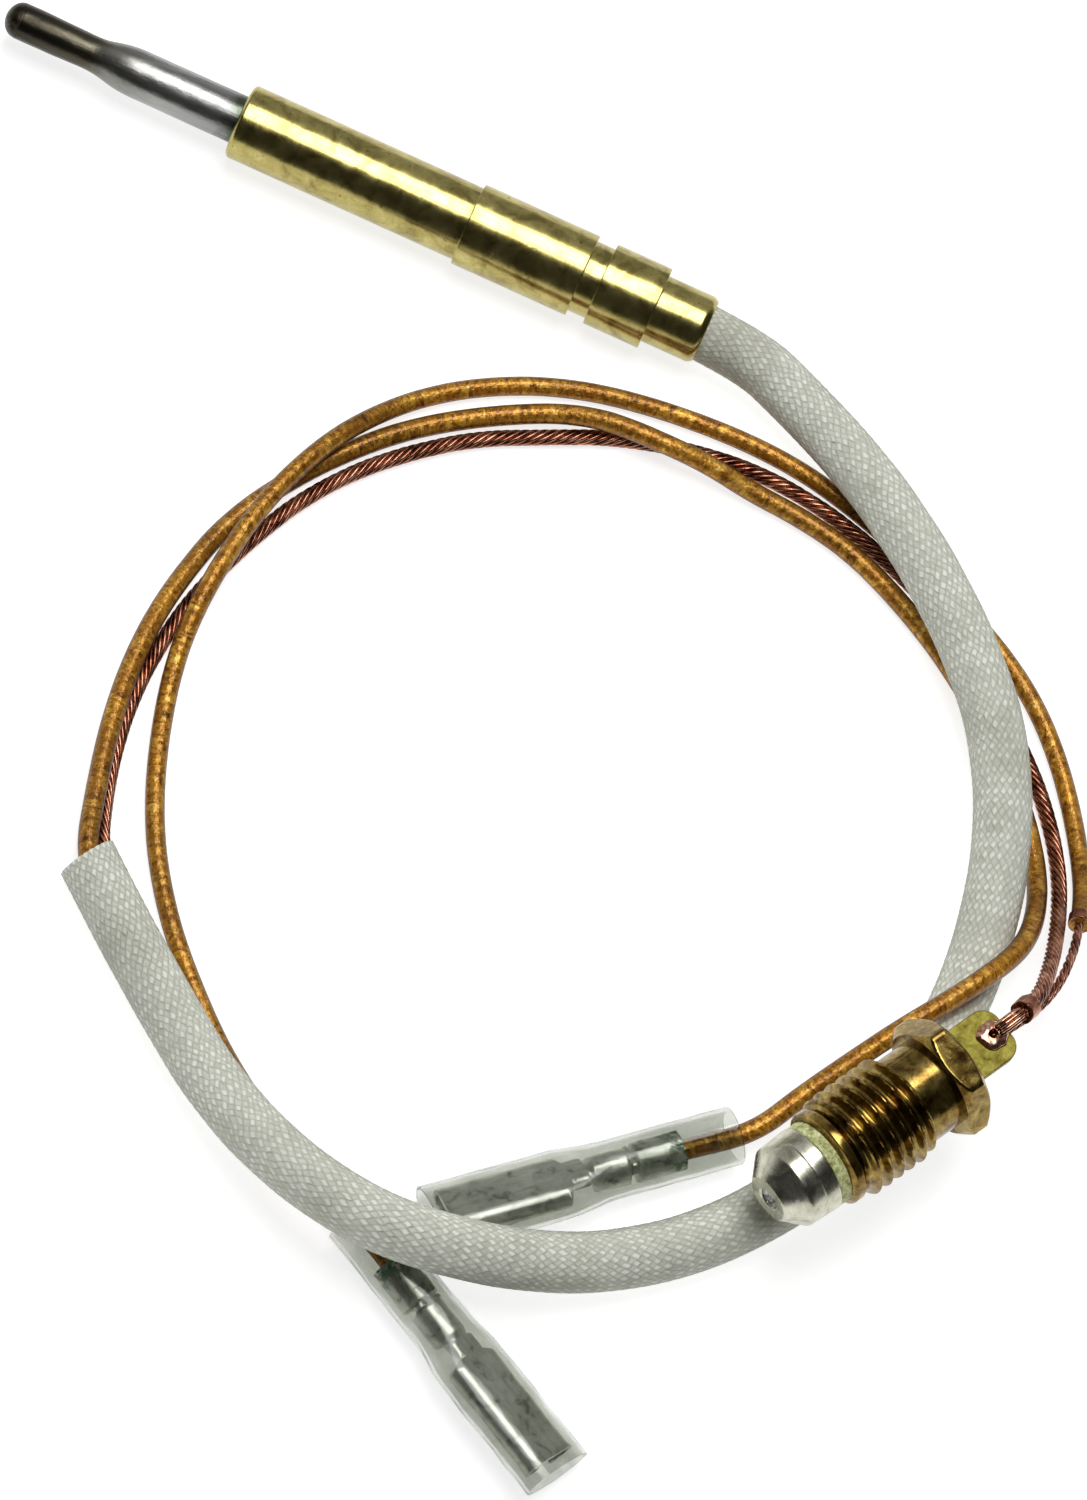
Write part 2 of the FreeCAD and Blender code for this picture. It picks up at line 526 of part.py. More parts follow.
def receptacle(name):
    """A folded spade receptacle: floor, two rolled edges, neck, conductor crimp and insulation crimp."""
    floor_z = ("-spade_floor", "spade_sheet - spade_floor")
    curl_z = "curl_radius - spade_floor"
    curl_y = "spade_half_width - curl_radius"
    blade_z = ("spade_sheet - spade_floor", "spade_sheet - spade_floor + blade_gap")
    whole = ("spade_start", "spade_end")
    past = ("spade_start - 1", "spade_end + 1")
    rolls = []
    for side, sign in (("left", ""), ("right", "-")):
        y = sign + "(" + curl_y + ")"
        outside = cylinder(name + "_roll_out_" + side, "curl_radius", *whole, y=y, z=curl_z)
        inside = cylinder(name + "_roll_in_" + side, "curl_radius - spade_sheet", *past, y=y, z=curl_z)
        rolls.append(cut(name + "_roll_" + side, outside, inside))
    floor = box(name + "_floor", whole, ("-(" + curl_y + ")", curl_y), floor_z)
    shell = fuse(name + "_shell", rolls + [floor])
    blade = box(name + "_blade", past, ("-blade_half_width", "blade_half_width"), blade_z)
    gap = box(name + "_gap", past, ("-curl_gap", "curl_gap"),
              ("spade_sheet - spade_floor", "2 * curl_radius"))
    lock = doc.addObject("Part::Cylinder", name + "_lock")
    bind(lock, {"Radius": "lock_hole", "Height": "2 * spade_sheet", "Placement.Base.x": "lock_at",
                "Placement.Base.z": "-spade_floor - spade_sheet / 2"})
    front = cut(name + "_box", shell, fuse(name + "_hollow", [blade, gap, lock]))
    neck = ("spade_end - 0.5", "crimp_start + 0.5")
    strip = box(name + "_strip", neck, ("-neck_half_width", "neck_half_width"), floor_z)
    wall_z = ("-spade_floor", "neck_wall - spade_floor")
    walls = [box(name + "_wall_" + side, neck, y, wall_z) for side, y in (
        ("left", ("neck_half_width - spade_sheet", "neck_half_width")),
        ("right", ("-neck_half_width", "spade_sheet - neck_half_width")))]
    wire_crimp = cylinder(name + "_wire_crimp", "wire_crimp_radius", "crimp_start", "crimp_step")
    jacket_crimp = cylinder(name + "_jacket_crimp", "jacket_crimp_radius", "crimp_step", "crimp_end")
    rear = fuse(name + "_rear", [strip, wire_crimp, jacket_crimp] + walls)
    bores = fuse(name + "_bores", [
        cylinder(name + "_wire_bore", "lead_bore", "crimp_start - 1", "crimp_step + 1"),
        cylinder(name + "_jacket_bore", "jacket_crimp_bore", "crimp_step", "crimp_end + 1"),
        box(name + "_seam_wire", ("crimp_start - 1", "crimp_step"), ("-seam_half_width", "seam_half_width"),
            ("wire_crimp_radius - seam_depth", "2 * wire_crimp_radius")),
        box(name + "_seam_jacket", ("crimp_step", "crimp_end + 1"), ("-seam_half_width", "seam_half_width"),
            ("jacket_crimp_radius - seam_depth", "2 * jacket_crimp_radius"))])
    return fuse(name + "_all", [front, cut(name + "_drilled", rear, bores)])


boots = []
for number in (1, 2):
    place = BOOT % ((number,) * 5)
    finish(receptacle("receptacle_%d" % number), "spade_receptacle_%d" % number, place)
    shell = cut("boot_%d" % number, boot_loft("boot_%d_outside" % number, ""),
                boot_loft("boot_%d_inside" % number, " - boot_wall"))
    boots.append(finish(shell, "clear_sleeve_%d" % number, place))
doc.recompute()

# ---------------------------------------------------------------- cords
INTO_CRIMP = 0.3                                  # from a crimp's front edge to a cord's end inside it
INTO_FERRULE = 2.5                                # from the ferrule's front edge to lead A's conductor
# The braided sleeve starts inside the brass body, holds leads A and B, passes over all three leads at the
# right, runs under the connector, climbs over terminal 2 and ends open at the left.
SLEEVE = [
    along_probe(value("sleeve_start")),
    Vector(30.6, 0.0, 3.1), Vector(36.0, -2.0, 2.75), Vector(41.5, -4.9, 3.3),
    Vector(47.6, -9.2, 3.9), Vector(53.2, -14.2, 3.95), Vector(57.8, -19.6, 3.95), Vector(60.9, -26.0, 3.6),
    Vector(62.6, -32.6, 2.7), Vector(63.1, -39.2, 2.1), Vector(62.5, -45.7, 2.1), Vector(60.6, -52.0, 2.1),
    Vector(57.4, -58.0, 2.1), Vector(53.2, -63.6, 2.1), Vector(48.0, -68.0, 2.5), Vector(42.6, -71.2, 4.3),
    Vector(37.4, -73.3, 6.4), Vector(32.0, -74.2, 7.2), Vector(26.6, -73.2, 6.6), Vector(21.7, -70.8, 4.7),
    Vector(17.0, -67.5, 2.9), Vector(12.2, -63.5, 2.1), Vector(7.9, -60.1, 2.1), Vector(3.9, -56.7, 2.1)]

# Lead A leaves the sleeve's open end above B, passes under C, over B, under the sleeve and over it.
LEAD_A_FREE = [
    Vector(3.74, -56.9, 2.35), Vector(2.4, -51.7, 1.9), Vector(1.4, -47.2, 1.75), Vector(0.8, -42.5, 1.55),
    Vector(0.75, -37.9, 1.3), Vector(1.3, -33.4, 0.9), Vector(2.4, -28.7, 0.75), Vector(4.6, -24.2, 0.75),
    Vector(7.6, -19.8, 0.75), Vector(11.2, -15.8, 0.75), Vector(15.4, -12.6, 0.8), Vector(19.8, -10.2, 1.2),
    Vector(22.9, -9.4, 1.9), Vector(25.8, -9.2, 2.2), Vector(28.9, -9.15, 2.2), Vector(32.0, -9.0, 1.7),
    Vector(35.2, -9.15, 0.9), Vector(39.1, -9.3, 0.75), Vector(43.4, -10.1, 0.75), Vector(47.8, -12.0, 0.75),
    Vector(52.2, -14.5, 0.75), Vector(56.4, -17.7, 0.75), Vector(60.2, -21.1, 0.75), Vector(63.1, -24.8, 0.8),
    Vector(64.9, -28.3, 1.4), Vector(65.6, -31.8, 2.8), Vector(65.3, -34.9, 4.4), Vector(64.1, -37.8, 5.5),
    Vector(62.1, -41.1, 5.5), Vector(59.9, -44.2, 5.1), Vector(57.7, -47.5, 4.0), Vector(55.4, -51.1, 2.9)]

# Lead B leaves the open end beside A, keeps inside it, and climbs to the connector's tab.
LEAD_B_FREE = [
    Vector(4.55, -55.95, 1.8), Vector(3.05, -51.2, 0.7), Vector(2.15, -47.0, 0.6), Vector(1.75, -42.9, 0.6),
    Vector(1.95, -38.8, 0.6), Vector(2.55, -35.0, 0.6), Vector(3.6, -31.3, 0.6), Vector(4.9, -27.8, 0.6),
    Vector(6.5, -24.3, 0.6), Vector(9.0, -20.6, 0.6), Vector(12.2, -17.2, 0.6), Vector(16.0, -14.1, 0.6),
    Vector(20.3, -11.8, 0.6), Vector(24.0, -9.9, 0.6), Vector(27.4, -8.7, 0.6), Vector(31.0, -7.8, 0.6),
    Vector(34.8, -7.4, 0.6), Vector(38.7, -7.6, 0.6), Vector(42.7, -8.4, 0.6), Vector(47.6, -10.1, 0.6),
    Vector(52.2, -12.4, 0.6), Vector(56.5, -15.4, 0.6), Vector(60.0, -18.6, 0.6), Vector(62.5, -21.2, 0.6),
    Vector(64.5, -23.9, 0.65), Vector(66.1, -27.0, 1.1), Vector(67.0, -30.5, 2.6), Vector(67.4, -34.4, 5.3),
    Vector(67.4, -37.9, 8.2), Vector(67.2, -40.5, 10.3)]

# Lead C leaves terminal 2, passes over A and B at the left and under the sleeve at both sides.
LEAD_C_FREE = [
    Vector(27.3, -70.8, 1.6), Vector(22.6, -68.4, 0.95), Vector(18.3, -65.4, 0.7), Vector(14.9, -62.3, 0.7),
    Vector(11.2, -58.4, 0.7), Vector(8.0, -53.8, 0.7), Vector(5.8, -49.0, 0.7), Vector(4.2, -43.8, 0.75),
    Vector(3.3, -39.2, 1.2), Vector(3.2, -35.5, 2.1), Vector(3.5, -31.6, 2.5), Vector(4.1, -27.6, 2.6),
    Vector(5.2, -23.5, 2.6), Vector(6.8, -19.6, 2.3), Vector(8.6, -16.3, 1.4), Vector(10.9, -13.3, 0.8),
    Vector(14.0, -10.7, 0.7), Vector(18.0, -8.4, 0.7), Vector(22.5, -6.8, 0.7), Vector(27.6, -5.9, 0.7),
    Vector(33.0, -5.5, 0.7), Vector(37.9, -5.8, 0.7), Vector(42.3, -6.8, 0.7), Vector(47.7, -8.6, 0.7),
    Vector(52.7, -10.7, 0.7), Vector(56.5, -12.7, 0.7), Vector(59.9, -15.2, 0.7), Vector(62.8, -18.3, 0.7),
    Vector(65.3, -21.9, 0.75), Vector(67.2, -25.5, 1.2), Vector(68.2, -28.6, 2.4)]
LEAD_C_END = Vector(68.5, -30.9, 3.5)
LEAD_C_CORE = [Vector(68.7, -33.4, 4.8), Vector(68.6, -36.5, 6.1), Vector(68.0, -39.1, 7.1),
               Vector(67.0, -41.4, 8.1)]

tube("braided_sleeve", SLEEVE, "sleeve_radius", "sleeve_bore")

boot_1, boot_2 = boots
jacket_end = value("crimp_step") + INTO_CRIMP
conductor_end = value("crimp_start") + INTO_CRIMP
way_in = value("boot_way_in")
in_sleeve_a = beside(SLEEVE, value("lead_a_offset"))[:-1]
in_sleeve_b = beside(SLEEVE, -value("lead_b_offset"))[:-1]

route_a = in_sleeve_a + LEAD_A_FREE
end_a = [in_place(boot_1, value("boot_way_out"), value("boot_way_side")), in_place(boot_1, way_in)]
out_of_ferrule = along_probe(value("ferrule_way_out"), value("lead_a_offset") / 2)
tube("lead_a_insulation", [out_of_ferrule] + route_a + end_a + [in_place(boot_1, jacket_end)],
     "lead_a_radius", "lead_bore")
in_ferrule = along_probe(value("ferrule_start") + INTO_FERRULE)
tube("lead_a_conductor", [in_ferrule, out_of_ferrule] + route_a + end_a + [in_place(boot_1, conductor_end)],
     "strand_radius")

return_offset = value("return_offset")
route_b = [along_probe(value("braze_start") + INTO_CRIMP, -return_offset),
           along_probe(value("return_bend"), -return_offset)] + in_sleeve_b + LEAD_B_FREE
end_b = in_place(connector_stem, value("tail_end"), 0.0, value("tail_end_height"))
tube("lead_b_return", route_b + [end_b], "lead_b_radius")

route_c = LEAD_C_FREE + [LEAD_C_END]
end_c = in_place(boot_2, way_in)
tube("lead_c_insulation", [in_place(boot_2, jacket_end), end_c] + route_c, "lead_c_radius", "lead_bore")
tube("lead_c_conductor", [in_place(boot_2, conductor_end), end_c] + route_c + LEAD_C_CORE
     + [in_place(connector_stem, value("splice_way_out"), 0.0, value("splice_way_drop")),
        in_place(connector_stem, value("pin_end") + 0.05)], "strand_radius")


def band(label, end, before, length, outer, inner):
    """A short ring round a cord at its end, square to its way."""
    item = ring(label + "_ring", outer, inner, "-" + length, "0")
    item.Placement = Placement(end, Rotation(Vector(1, 0, 0), end - before))
    return finish(item, label)


band("lead_b_crimp_band", end_b, LEAD_B_FREE[-1], "crimp_band_length",
     "lead_b_radius + fit_gap + crimp_band_wall", "lead_b_radius + fit_gap")
band("lead_c_end_band", LEAD_C_END, LEAD_C_FREE[-1], "end_band_length",
     "lead_c_radius + fit_gap + end_band_wall", "lead_c_radius + fit_gap")

# the return lead's bare strands, brazed flat on the tab and through its hole
tail = doc.addObject("Part::Cone", "tail")
tail.Placement = Placement(Vector(0, 0, 0), ALONG_X)
bind(tail, {"Radius1": "tab_hole - fit_gap", "Radius2": "lead_b_radius - fit_gap",
            "Height": "tail_end - tab_hole_at", "Placement.Base.x": "tab_hole_at",
            "Placement.Base.z": "tab_height + tab_thickness + tab_hole - fit_gap"})
tail_plug = doc.addObject("Part::Cylinder", "tail_plug")
bind(tail_plug, {"Radius": "tab_hole - fit_gap", "Height": "tab_thickness + tab_hole",
                 "Placement.Base.x": "tab_hole_at", "Placement.Base.z": "tab_height"})
finish(fuse("tail_all", [tail, tail_plug]), "return_lead_tail", CONNECTOR)


# ---------------------------------------------------------------- checks and files
doc.recompute()
for item in doc.Objects:
    if "Invalid" in item.State or "Error" in item.State:
        raise RuntimeError("%s has failed: %s" % (item.Name, item.State))
for item in SUBPARTS:
    if item.Shape.isNull() or not item.Shape.isValid():
        raise RuntimeError("%s has no valid shape" % item.Label)
    print("%-22s %2d solid  %8.2f mm3" % (item.Label, len(item.Shape.Solids), item.Shape.Volume))

os.makedirs("parts", exist_ok=True)
for item in SUBPARTS:
    item.Shape.exportStep("parts/%s.step" % item.Label)
print("%d pieces written" % len(SUBPARTS))
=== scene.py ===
"""A thermocouple: brass probe, braided sleeve, three leads, two spade receptacles, threaded connector."""

import json
import math

import bpy
import numpy as np
from mathutils import Matrix, Vector


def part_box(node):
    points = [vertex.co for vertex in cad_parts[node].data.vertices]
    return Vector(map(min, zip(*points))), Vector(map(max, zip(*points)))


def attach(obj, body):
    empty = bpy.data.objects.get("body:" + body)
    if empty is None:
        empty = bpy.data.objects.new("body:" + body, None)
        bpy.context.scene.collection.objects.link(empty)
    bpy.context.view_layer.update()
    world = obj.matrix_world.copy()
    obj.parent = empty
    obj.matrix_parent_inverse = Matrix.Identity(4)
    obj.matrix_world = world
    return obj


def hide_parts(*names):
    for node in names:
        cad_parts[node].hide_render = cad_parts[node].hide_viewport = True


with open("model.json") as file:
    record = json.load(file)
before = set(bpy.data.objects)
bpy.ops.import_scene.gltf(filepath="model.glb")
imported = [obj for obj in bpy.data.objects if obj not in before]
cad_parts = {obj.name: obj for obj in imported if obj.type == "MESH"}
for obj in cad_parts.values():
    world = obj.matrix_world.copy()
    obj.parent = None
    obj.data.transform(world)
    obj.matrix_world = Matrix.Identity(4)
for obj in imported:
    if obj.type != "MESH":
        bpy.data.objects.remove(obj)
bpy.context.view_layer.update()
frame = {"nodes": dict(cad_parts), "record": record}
nodes = frame["nodes"]
mounts = {mount["name"]: mount for mount in frame["record"]["mounts"]}
MM = 0.001
TURN = 2 * math.pi

# ---------------------------------------------------------------- places
PROBE_RADIUS = 3.1 * MM
PROBE = Matrix.Translation(Vector((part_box("hot_junction_cap")[0][0], 0.0, PROBE_RADIUS)))


def mount_place(name, roll=0.0):
    """The frame at a mount, with its X pointing into the object, turned about that X by roll degrees."""
    mount = mounts[name]
    ahead = -Vector(mount["axis"])
    yaw = math.atan2(ahead.y, ahead.x)
    turn = Matrix.Rotation(yaw, 4, "Z") @ Matrix.Rotation(math.radians(roll), 4, "X")
    return Matrix.Translation(Vector(mount["pos_m"])) @ turn


CONNECTOR = mount_place("contact_face")
TERMINALS = {1: mount_place("terminal_1_mouth", 150.0), 2: mount_place("terminal_2_mouth", 208.0)}
WORLD = Matrix.Identity(4)


# ---------------------------------------------------------------- meshes
def ripple(a, b, seed, scale, waves=9):
    """A smooth random field from -1 to 1 over two coordinates, with features about scale wide."""
    chance = np.random.default_rng(seed)
    total = np.zeros(np.broadcast(a, b).shape)
    for _ in range(waves):
        way, size, phase = chance.uniform(0, TURN), chance.uniform(0.6, 1.7), chance.uniform(0, TURN)
        total += np.sin((np.cos(way) * a + np.sin(way) * b) * TURN / (scale * size) + phase)
    return total / waves * 1.6


def run_of(points):
    """The distance along a row of points at each of them, from 0."""
    return np.concatenate([[0], np.cumsum(np.linalg.norm(np.diff(points, axis=0), axis=1))])


def build(name, points, faces, uvs, material, place=WORLD, sharp=35.0):
    """A mesh object from points in metres, faces of point numbers and one (u, v) for each face corner."""
    mesh = bpy.data.meshes.new(name)
    mesh.from_pydata(points.tolist(), [], faces)
    layer = mesh.uv_layers.new(name="wrap")
    layer.data.foreach_set("uv", np.asarray(uvs, dtype=np.float32).ravel())
    mesh.polygons.foreach_set("use_smooth", [True] * len(mesh.polygons))
    mesh.update()
    mesh.set_sharp_from_angle(angle=math.radians(sharp))
    mesh.materials.append(material)
    item = bpy.data.objects.new(name, mesh)
    bpy.context.scene.collection.objects.link(item)
    item.matrix_world = place
    return item


def skin(rows, across, along, ring, ends, start):
    """Faces and uvs of a grid of rows of points. across has one more value than a closed row has points."""
    count, width = rows.shape[:2]
    columns = width if ring else width - 1
    i, j = np.meshgrid(np.arange(count - 1), np.arange(columns), indexing="ij")
    k = (j + 1) % width
    quads = np.stack([i * width + j, i * width + k, (i + 1) * width + k, (i + 1) * width + j], -1) + start
    low, high = across[j], across[j + 1]
    uvs = np.stack([np.stack([low, along[i]], -1), np.stack([high, along[i]], -1),
                    np.stack([high, along[i + 1]], -1), np.stack([low, along[i + 1]], -1)], -2)
    faces = quads.reshape(-1, 4).tolist()
    uvs = uvs.reshape(-1, 2)
    for closed, row, turn in ((ends[0], 0, -1), (ends[1], count - 1, 1)):
        if closed:
            faces.append([start + row * width + column for column in range(width)][::turn])
            extra = np.stack([across[:width], np.full(width, along[row])], -1)[::turn]
            uvs = np.concatenate([uvs, extra])
    return faces, uvs


def grids(name, parts, material, place=WORLD, sharp=35.0):
    """One mesh object from several grids, each (rows, across, along, ring, ends), in millimetres."""
    points, faces, uvs = [], [], []
    start = 0
    for rows, across, along, ring, ends in parts:
        more_faces, more_uvs = skin(rows, across, along, ring, ends, start)
        points.append(rows.reshape(-1, 3))
        faces += more_faces
        uvs.append(more_uvs)
        start += rows.shape[0] * rows.shape[1]
    return build(name, np.concatenate(points) * MM, faces, np.concatenate(uvs), material, place, sharp)


def grid(name, rows, across, along, material, place=WORLD, ring=True, ends=(False, False), sharp=35.0):
    """A mesh object from one grid of points in millimetres."""
    return grids(name, [(rows, across, along, ring, ends)], material, place, sharp)


def outline(corners, step=0.5):
    """Points along an outline of (distance, radius, rounding) corners, with each corner rounded."""
    spots = []
    places = [np.array(corner[:2], dtype=float) for corner in corners]
    for number, corner in enumerate(corners):
        here = places[number]
        if number in (0, len(corners) - 1):
            spots.append(here)
            continue
        before, after = places[number - 1] - here, places[number + 1] - here
        reach = min(corner[2], 0.45 * np.linalg.norm(before), 0.45 * np.linalg.norm(after))
        start = here + before / np.linalg.norm(before) * reach
        end = here + after / np.linalg.norm(after) * reach
        for part in np.linspace(0, 1, 5 if reach < 0.5 else 9):
            spots.append((1 - part) ** 2 * start + 2 * part * (1 - part) * here + part ** 2 * end)
    dense = [spots[0]]
    for spot in spots[1:]:
        gap = np.linalg.norm(spot - dense[-1])
        if gap < 1e-6:
            continue
        pieces = max(1, math.ceil(gap / step))
        last = dense[-1]
        dense += [last + (spot - last) * part / pieces for part in range(1, pieces + 1)]
    return np.array(dense)


def around(count):
    """Angles evenly spaced round a turn."""
    return np.arange(count) * TURN / count


def turned(profile, count, relief=None):
    """Rows of points spun about X, across and along; relief adds to the radius by (distance, angle)."""
    angle = around(count)
    distance = np.broadcast_to(profile[:, :1], (len(profile), count)).copy()
    radius = np.broadcast_to(profile[:, 1:2], (len(profile), count)).copy()
    if relief:
        radius = np.maximum(radius + relief(distance, angle[None, :]), 0.004)
    rows = np.stack([distance, radius * np.cos(angle), radius * np.sin(angle)], -1)
    along = profile[0, 0] + run_of(profile)
    across = np.linspace(0, TURN, count + 1) * profile[:, 1].max()
    return rows, across, along


def lathe(name, corners, material, place, count=96, relief=None, ends=(False, False), step=0.5):
    """A mesh object spun about X from (distance, radius, rounding) corners in millimetres."""
    rows, across, along = turned(outline(corners, step), count, relief)
    return grid(name, rows, across, along, material, place, True, ends)


def route(points):
    """Points in metres close together on the smooth line with these control points."""
    data = bpy.data.curves.new("route", "CURVE")
    data.dimensions = "3D"
    data.resolution_u = 24
    spline = data.splines.new("NURBS")
    spline.points.add(len(points) - 1)
    for control, point in zip(spline.points, points):
        control.co = (*point, 1.0)
    spline.order_u = 3
    spline.use_endpoint_u = True
    holder = bpy.data.objects.new("route", data)
    bpy.context.scene.collection.objects.link(holder)
    line = bpy.data.meshes.new_from_object(holder)
    dense = np.array([tuple(vertex.co) for vertex in line.vertices])
    bpy.data.objects.remove(holder)
    bpy.data.meshes.remove(line)
    bpy.data.curves.remove(data)
    return dense


def evenly(line, step):
    """The same line, in millimetres, with its points a step apart; and their distances along it."""
    line = line / MM
    gaps = np.linalg.norm(np.diff(line, axis=0), axis=1)
    keep = np.concatenate([[True], gaps > 1e-6])
    line = line[keep]
    distance = run_of(line)
    wanted = np.linspace(0, distance[-1], max(3, round(distance[-1] / step) + 1))
    return np.stack([np.interp(wanted, distance, line[:, axis]) for axis in range(3)], -1), wanted


def carried(line):
    """Two directions square to a line at each of its points, carried along it without twist."""
    ahead = np.gradient(line, axis=0)
    ahead /= np.linalg.norm(ahead, axis=1)[:, None]
    side = np.zeros_like(line)
    first = np.cross(ahead[0], (0.0, 0.0, 1.0))
    if np.linalg.norm(first) < 0.1:
        first = np.cross(ahead[0], (0.0, 1.0, 0.0))
    side[0] = first / np.linalg.norm(first)
    for number in range(1, len(line)):
        leaned = side[number - 1] - ahead[number] * np.dot(side[number - 1], ahead[number])
        side[number] = leaned / np.linalg.norm(leaned)
    return ahead, side, np.cross(side, ahead)


def tube_rows(line, radius, count, shift=None):
    """Rows of points round a line in millimetres; radius, and shift along the line, are for each point."""
    ahead, side, up = carried(line)
    angle = around(count)
    radius = np.broadcast_to(radius, (len(line), count))[..., None]
    rows = line[:, None] + radius * (np.cos(angle)[None, :, None] * side[:, None]
                                     + np.sin(angle)[None, :, None] * up[:, None])
    if shift is not None:
        rows = rows + shift[..., None] * ahead[:, None]
    return rows


def strand_parts(line, distance, count, centre, radius, pitch):
    """Grids of count six-sided strands twisted round a line, their own lines at centre from it."""
    ahead, side, up = carried(line)
    parts = []
    for number in range(count):
        turn = TURN * (distance / pitch + number / count)
        own = line + centre * (np.cos(turn)[:, None] * side + np.sin(turn)[:, None] * up)
        parts.append((tube_rows(own, radius, 6), np.linspace(0, 1, 7) + number, distance, True, (True, True)))
    return parts


# ---------------------------------------------------------------- materials
class Paint:
    """A material built on the Principled shader, with short ways to add nodes."""

    def __init__(self, name, colour, metallic=0.0, roughness=0.5, **sockets):
        self.material = bpy.data.materials.new(name)
        self.material.use_nodes = True
        self.tree = self.material.node_tree
        self.shader = self.tree.nodes["Principled BSDF"]
        self.put(self.shader, {"Base Color": colour, "Metallic": metallic, "Roughness": roughness})
        self.put(self.shader, {key.replace("_", " "): what for key, what in sockets.items()})

    def put(self, node, inputs):
        for key, what in inputs.items():
            socket = node.inputs[key]
            if isinstance(what, bpy.types.NodeSocket):
                self.tree.links.new(what, socket)
            elif isinstance(what, tuple) and len(what) == 3 and socket.type == "RGBA":
                socket.default_value = (*what, 1.0)
            else:
                socket.default_value = what

    def node(self, kind, inputs=None, **settings):
        node = self.tree.nodes.new("ShaderNode" + kind)
        for key, what in settings.items():
            setattr(node, key, what)
        self.put(node, inputs or {})
        return node

    def sum(self, operation, *values):
        return self.node("Math", dict(enumerate(values)), operation=operation).outputs[0]

    def times(self, first, second):
        return self.sum("MULTIPLY", first, second)

    def mix(self, factor, first, second):
        node = self.node("Mix", data_type="RGBA")
        self.put(node, {0: factor, 6: first, 7: second})
        return node.outputs[2]

    def ramp(self, factor, *stops):
        """Values or colours at places from 0 to 1."""
        node = self.node("ValToRGB", {"Fac": factor})
        band = node.color_ramp
        while len(band.elements) < len(stops):
            band.elements.new(0.5)
        for element, (place, what) in zip(band.elements, stops):
            element.position = place
        for element, (place, what) in zip(band.elements, stops):
            element.color = (*what, 1.0) if isinstance(what, tuple) else (what, what, what, 1.0)
        return node.outputs["Color"]

    def wrap(self):
        """The mesh's own (across, along) coordinates, in millimetres where the mesh is turned."""
        return self.node("UVMap", uv_map="wrap").outputs[0]

    def room(self):
        """The piece's own coordinates in millimetres."""
        place = self.node("TexCoord").outputs["Object"]
        return self.node("VectorMath", {0: place, "Scale": 1000.0}, operation="SCALE").outputs[0]

    def stretched(self, vector, *factors):
        return self.node("VectorMath", {0: vector, 1: factors}, operation="MULTIPLY").outputs[0]

    def noise(self, vector, scale, detail=3.0, roughness=0.55, distortion=0.0):
        return self.node("TexNoise", {"Vector": vector, "Scale": scale, "Detail": detail,
                                      "Roughness": roughness, "Distortion": distortion}).outputs[0]

    def bump(self, height, distance, strength=1.0, normal=None):
        inputs = {"Height": height, "Distance": distance * MM, "Strength": strength}
        if normal:
            inputs["Normal"] = normal
        return self.node("Bump", inputs).outputs[0]

    def finish(self, **inputs):
        self.put(self.shader, {key.replace("_", " "): what for key, what in inputs.items()})
        return self.material


def metal(name, light, main, dark, roughness=(0.2, 0.4), patch=1.2, line_depth=0.004, pit=0.0015, speck=None,
          turned_marks=True):
    """Worked metal: blotches of three tones, turning or drawing marks, small pits, uneven polish."""
    paint = Paint(name, main, 1.0, 0.3)
    room = paint.room()
    blotch = paint.noise(room, 1 / patch, 5.0, 0.62, 0.6)
    tone = paint.ramp(blotch, (0.34, dark), (0.5, main), (0.68, light))
    fine = paint.noise(room, 5.0, 4.0, 0.7)
    tone = paint.mix(paint.ramp(fine, (0.3, 0.35), (0.5, 0.0)), tone, dark)
    if speck:
        spots = paint.noise(room, 3.2, 2.0, 0.5, 0.4)
        tone = paint.mix(paint.ramp(spots, (0.66, 0.0), (0.74, 0.85)), tone, speck)
    marks = paint.stretched(paint.wrap(), 0.25 if turned_marks else 1.0, 1.0 if turned_marks else 0.05, 1.0)
    marking = paint.noise(marks, 3.25, 3.0, 0.7)
    rough = paint.sum("ADD", paint.times(blotch, (roughness[1] - roughness[0]) * 1.4),
                      paint.sum("MULTIPLY_ADD", marking, 0.12, roughness[0] - 0.14))
    shape = paint.bump(marking, line_depth)
    shape = paint.bump(fine, pit, 1.0, shape)
    shape = paint.bump(blotch, pit * 2.5, 1.0, shape)
    return paint.finish(Base_Color=tone, Roughness=rough, Normal=shape)


BRAID_STRANDS = 26
BRAID_PITCH = 0.8


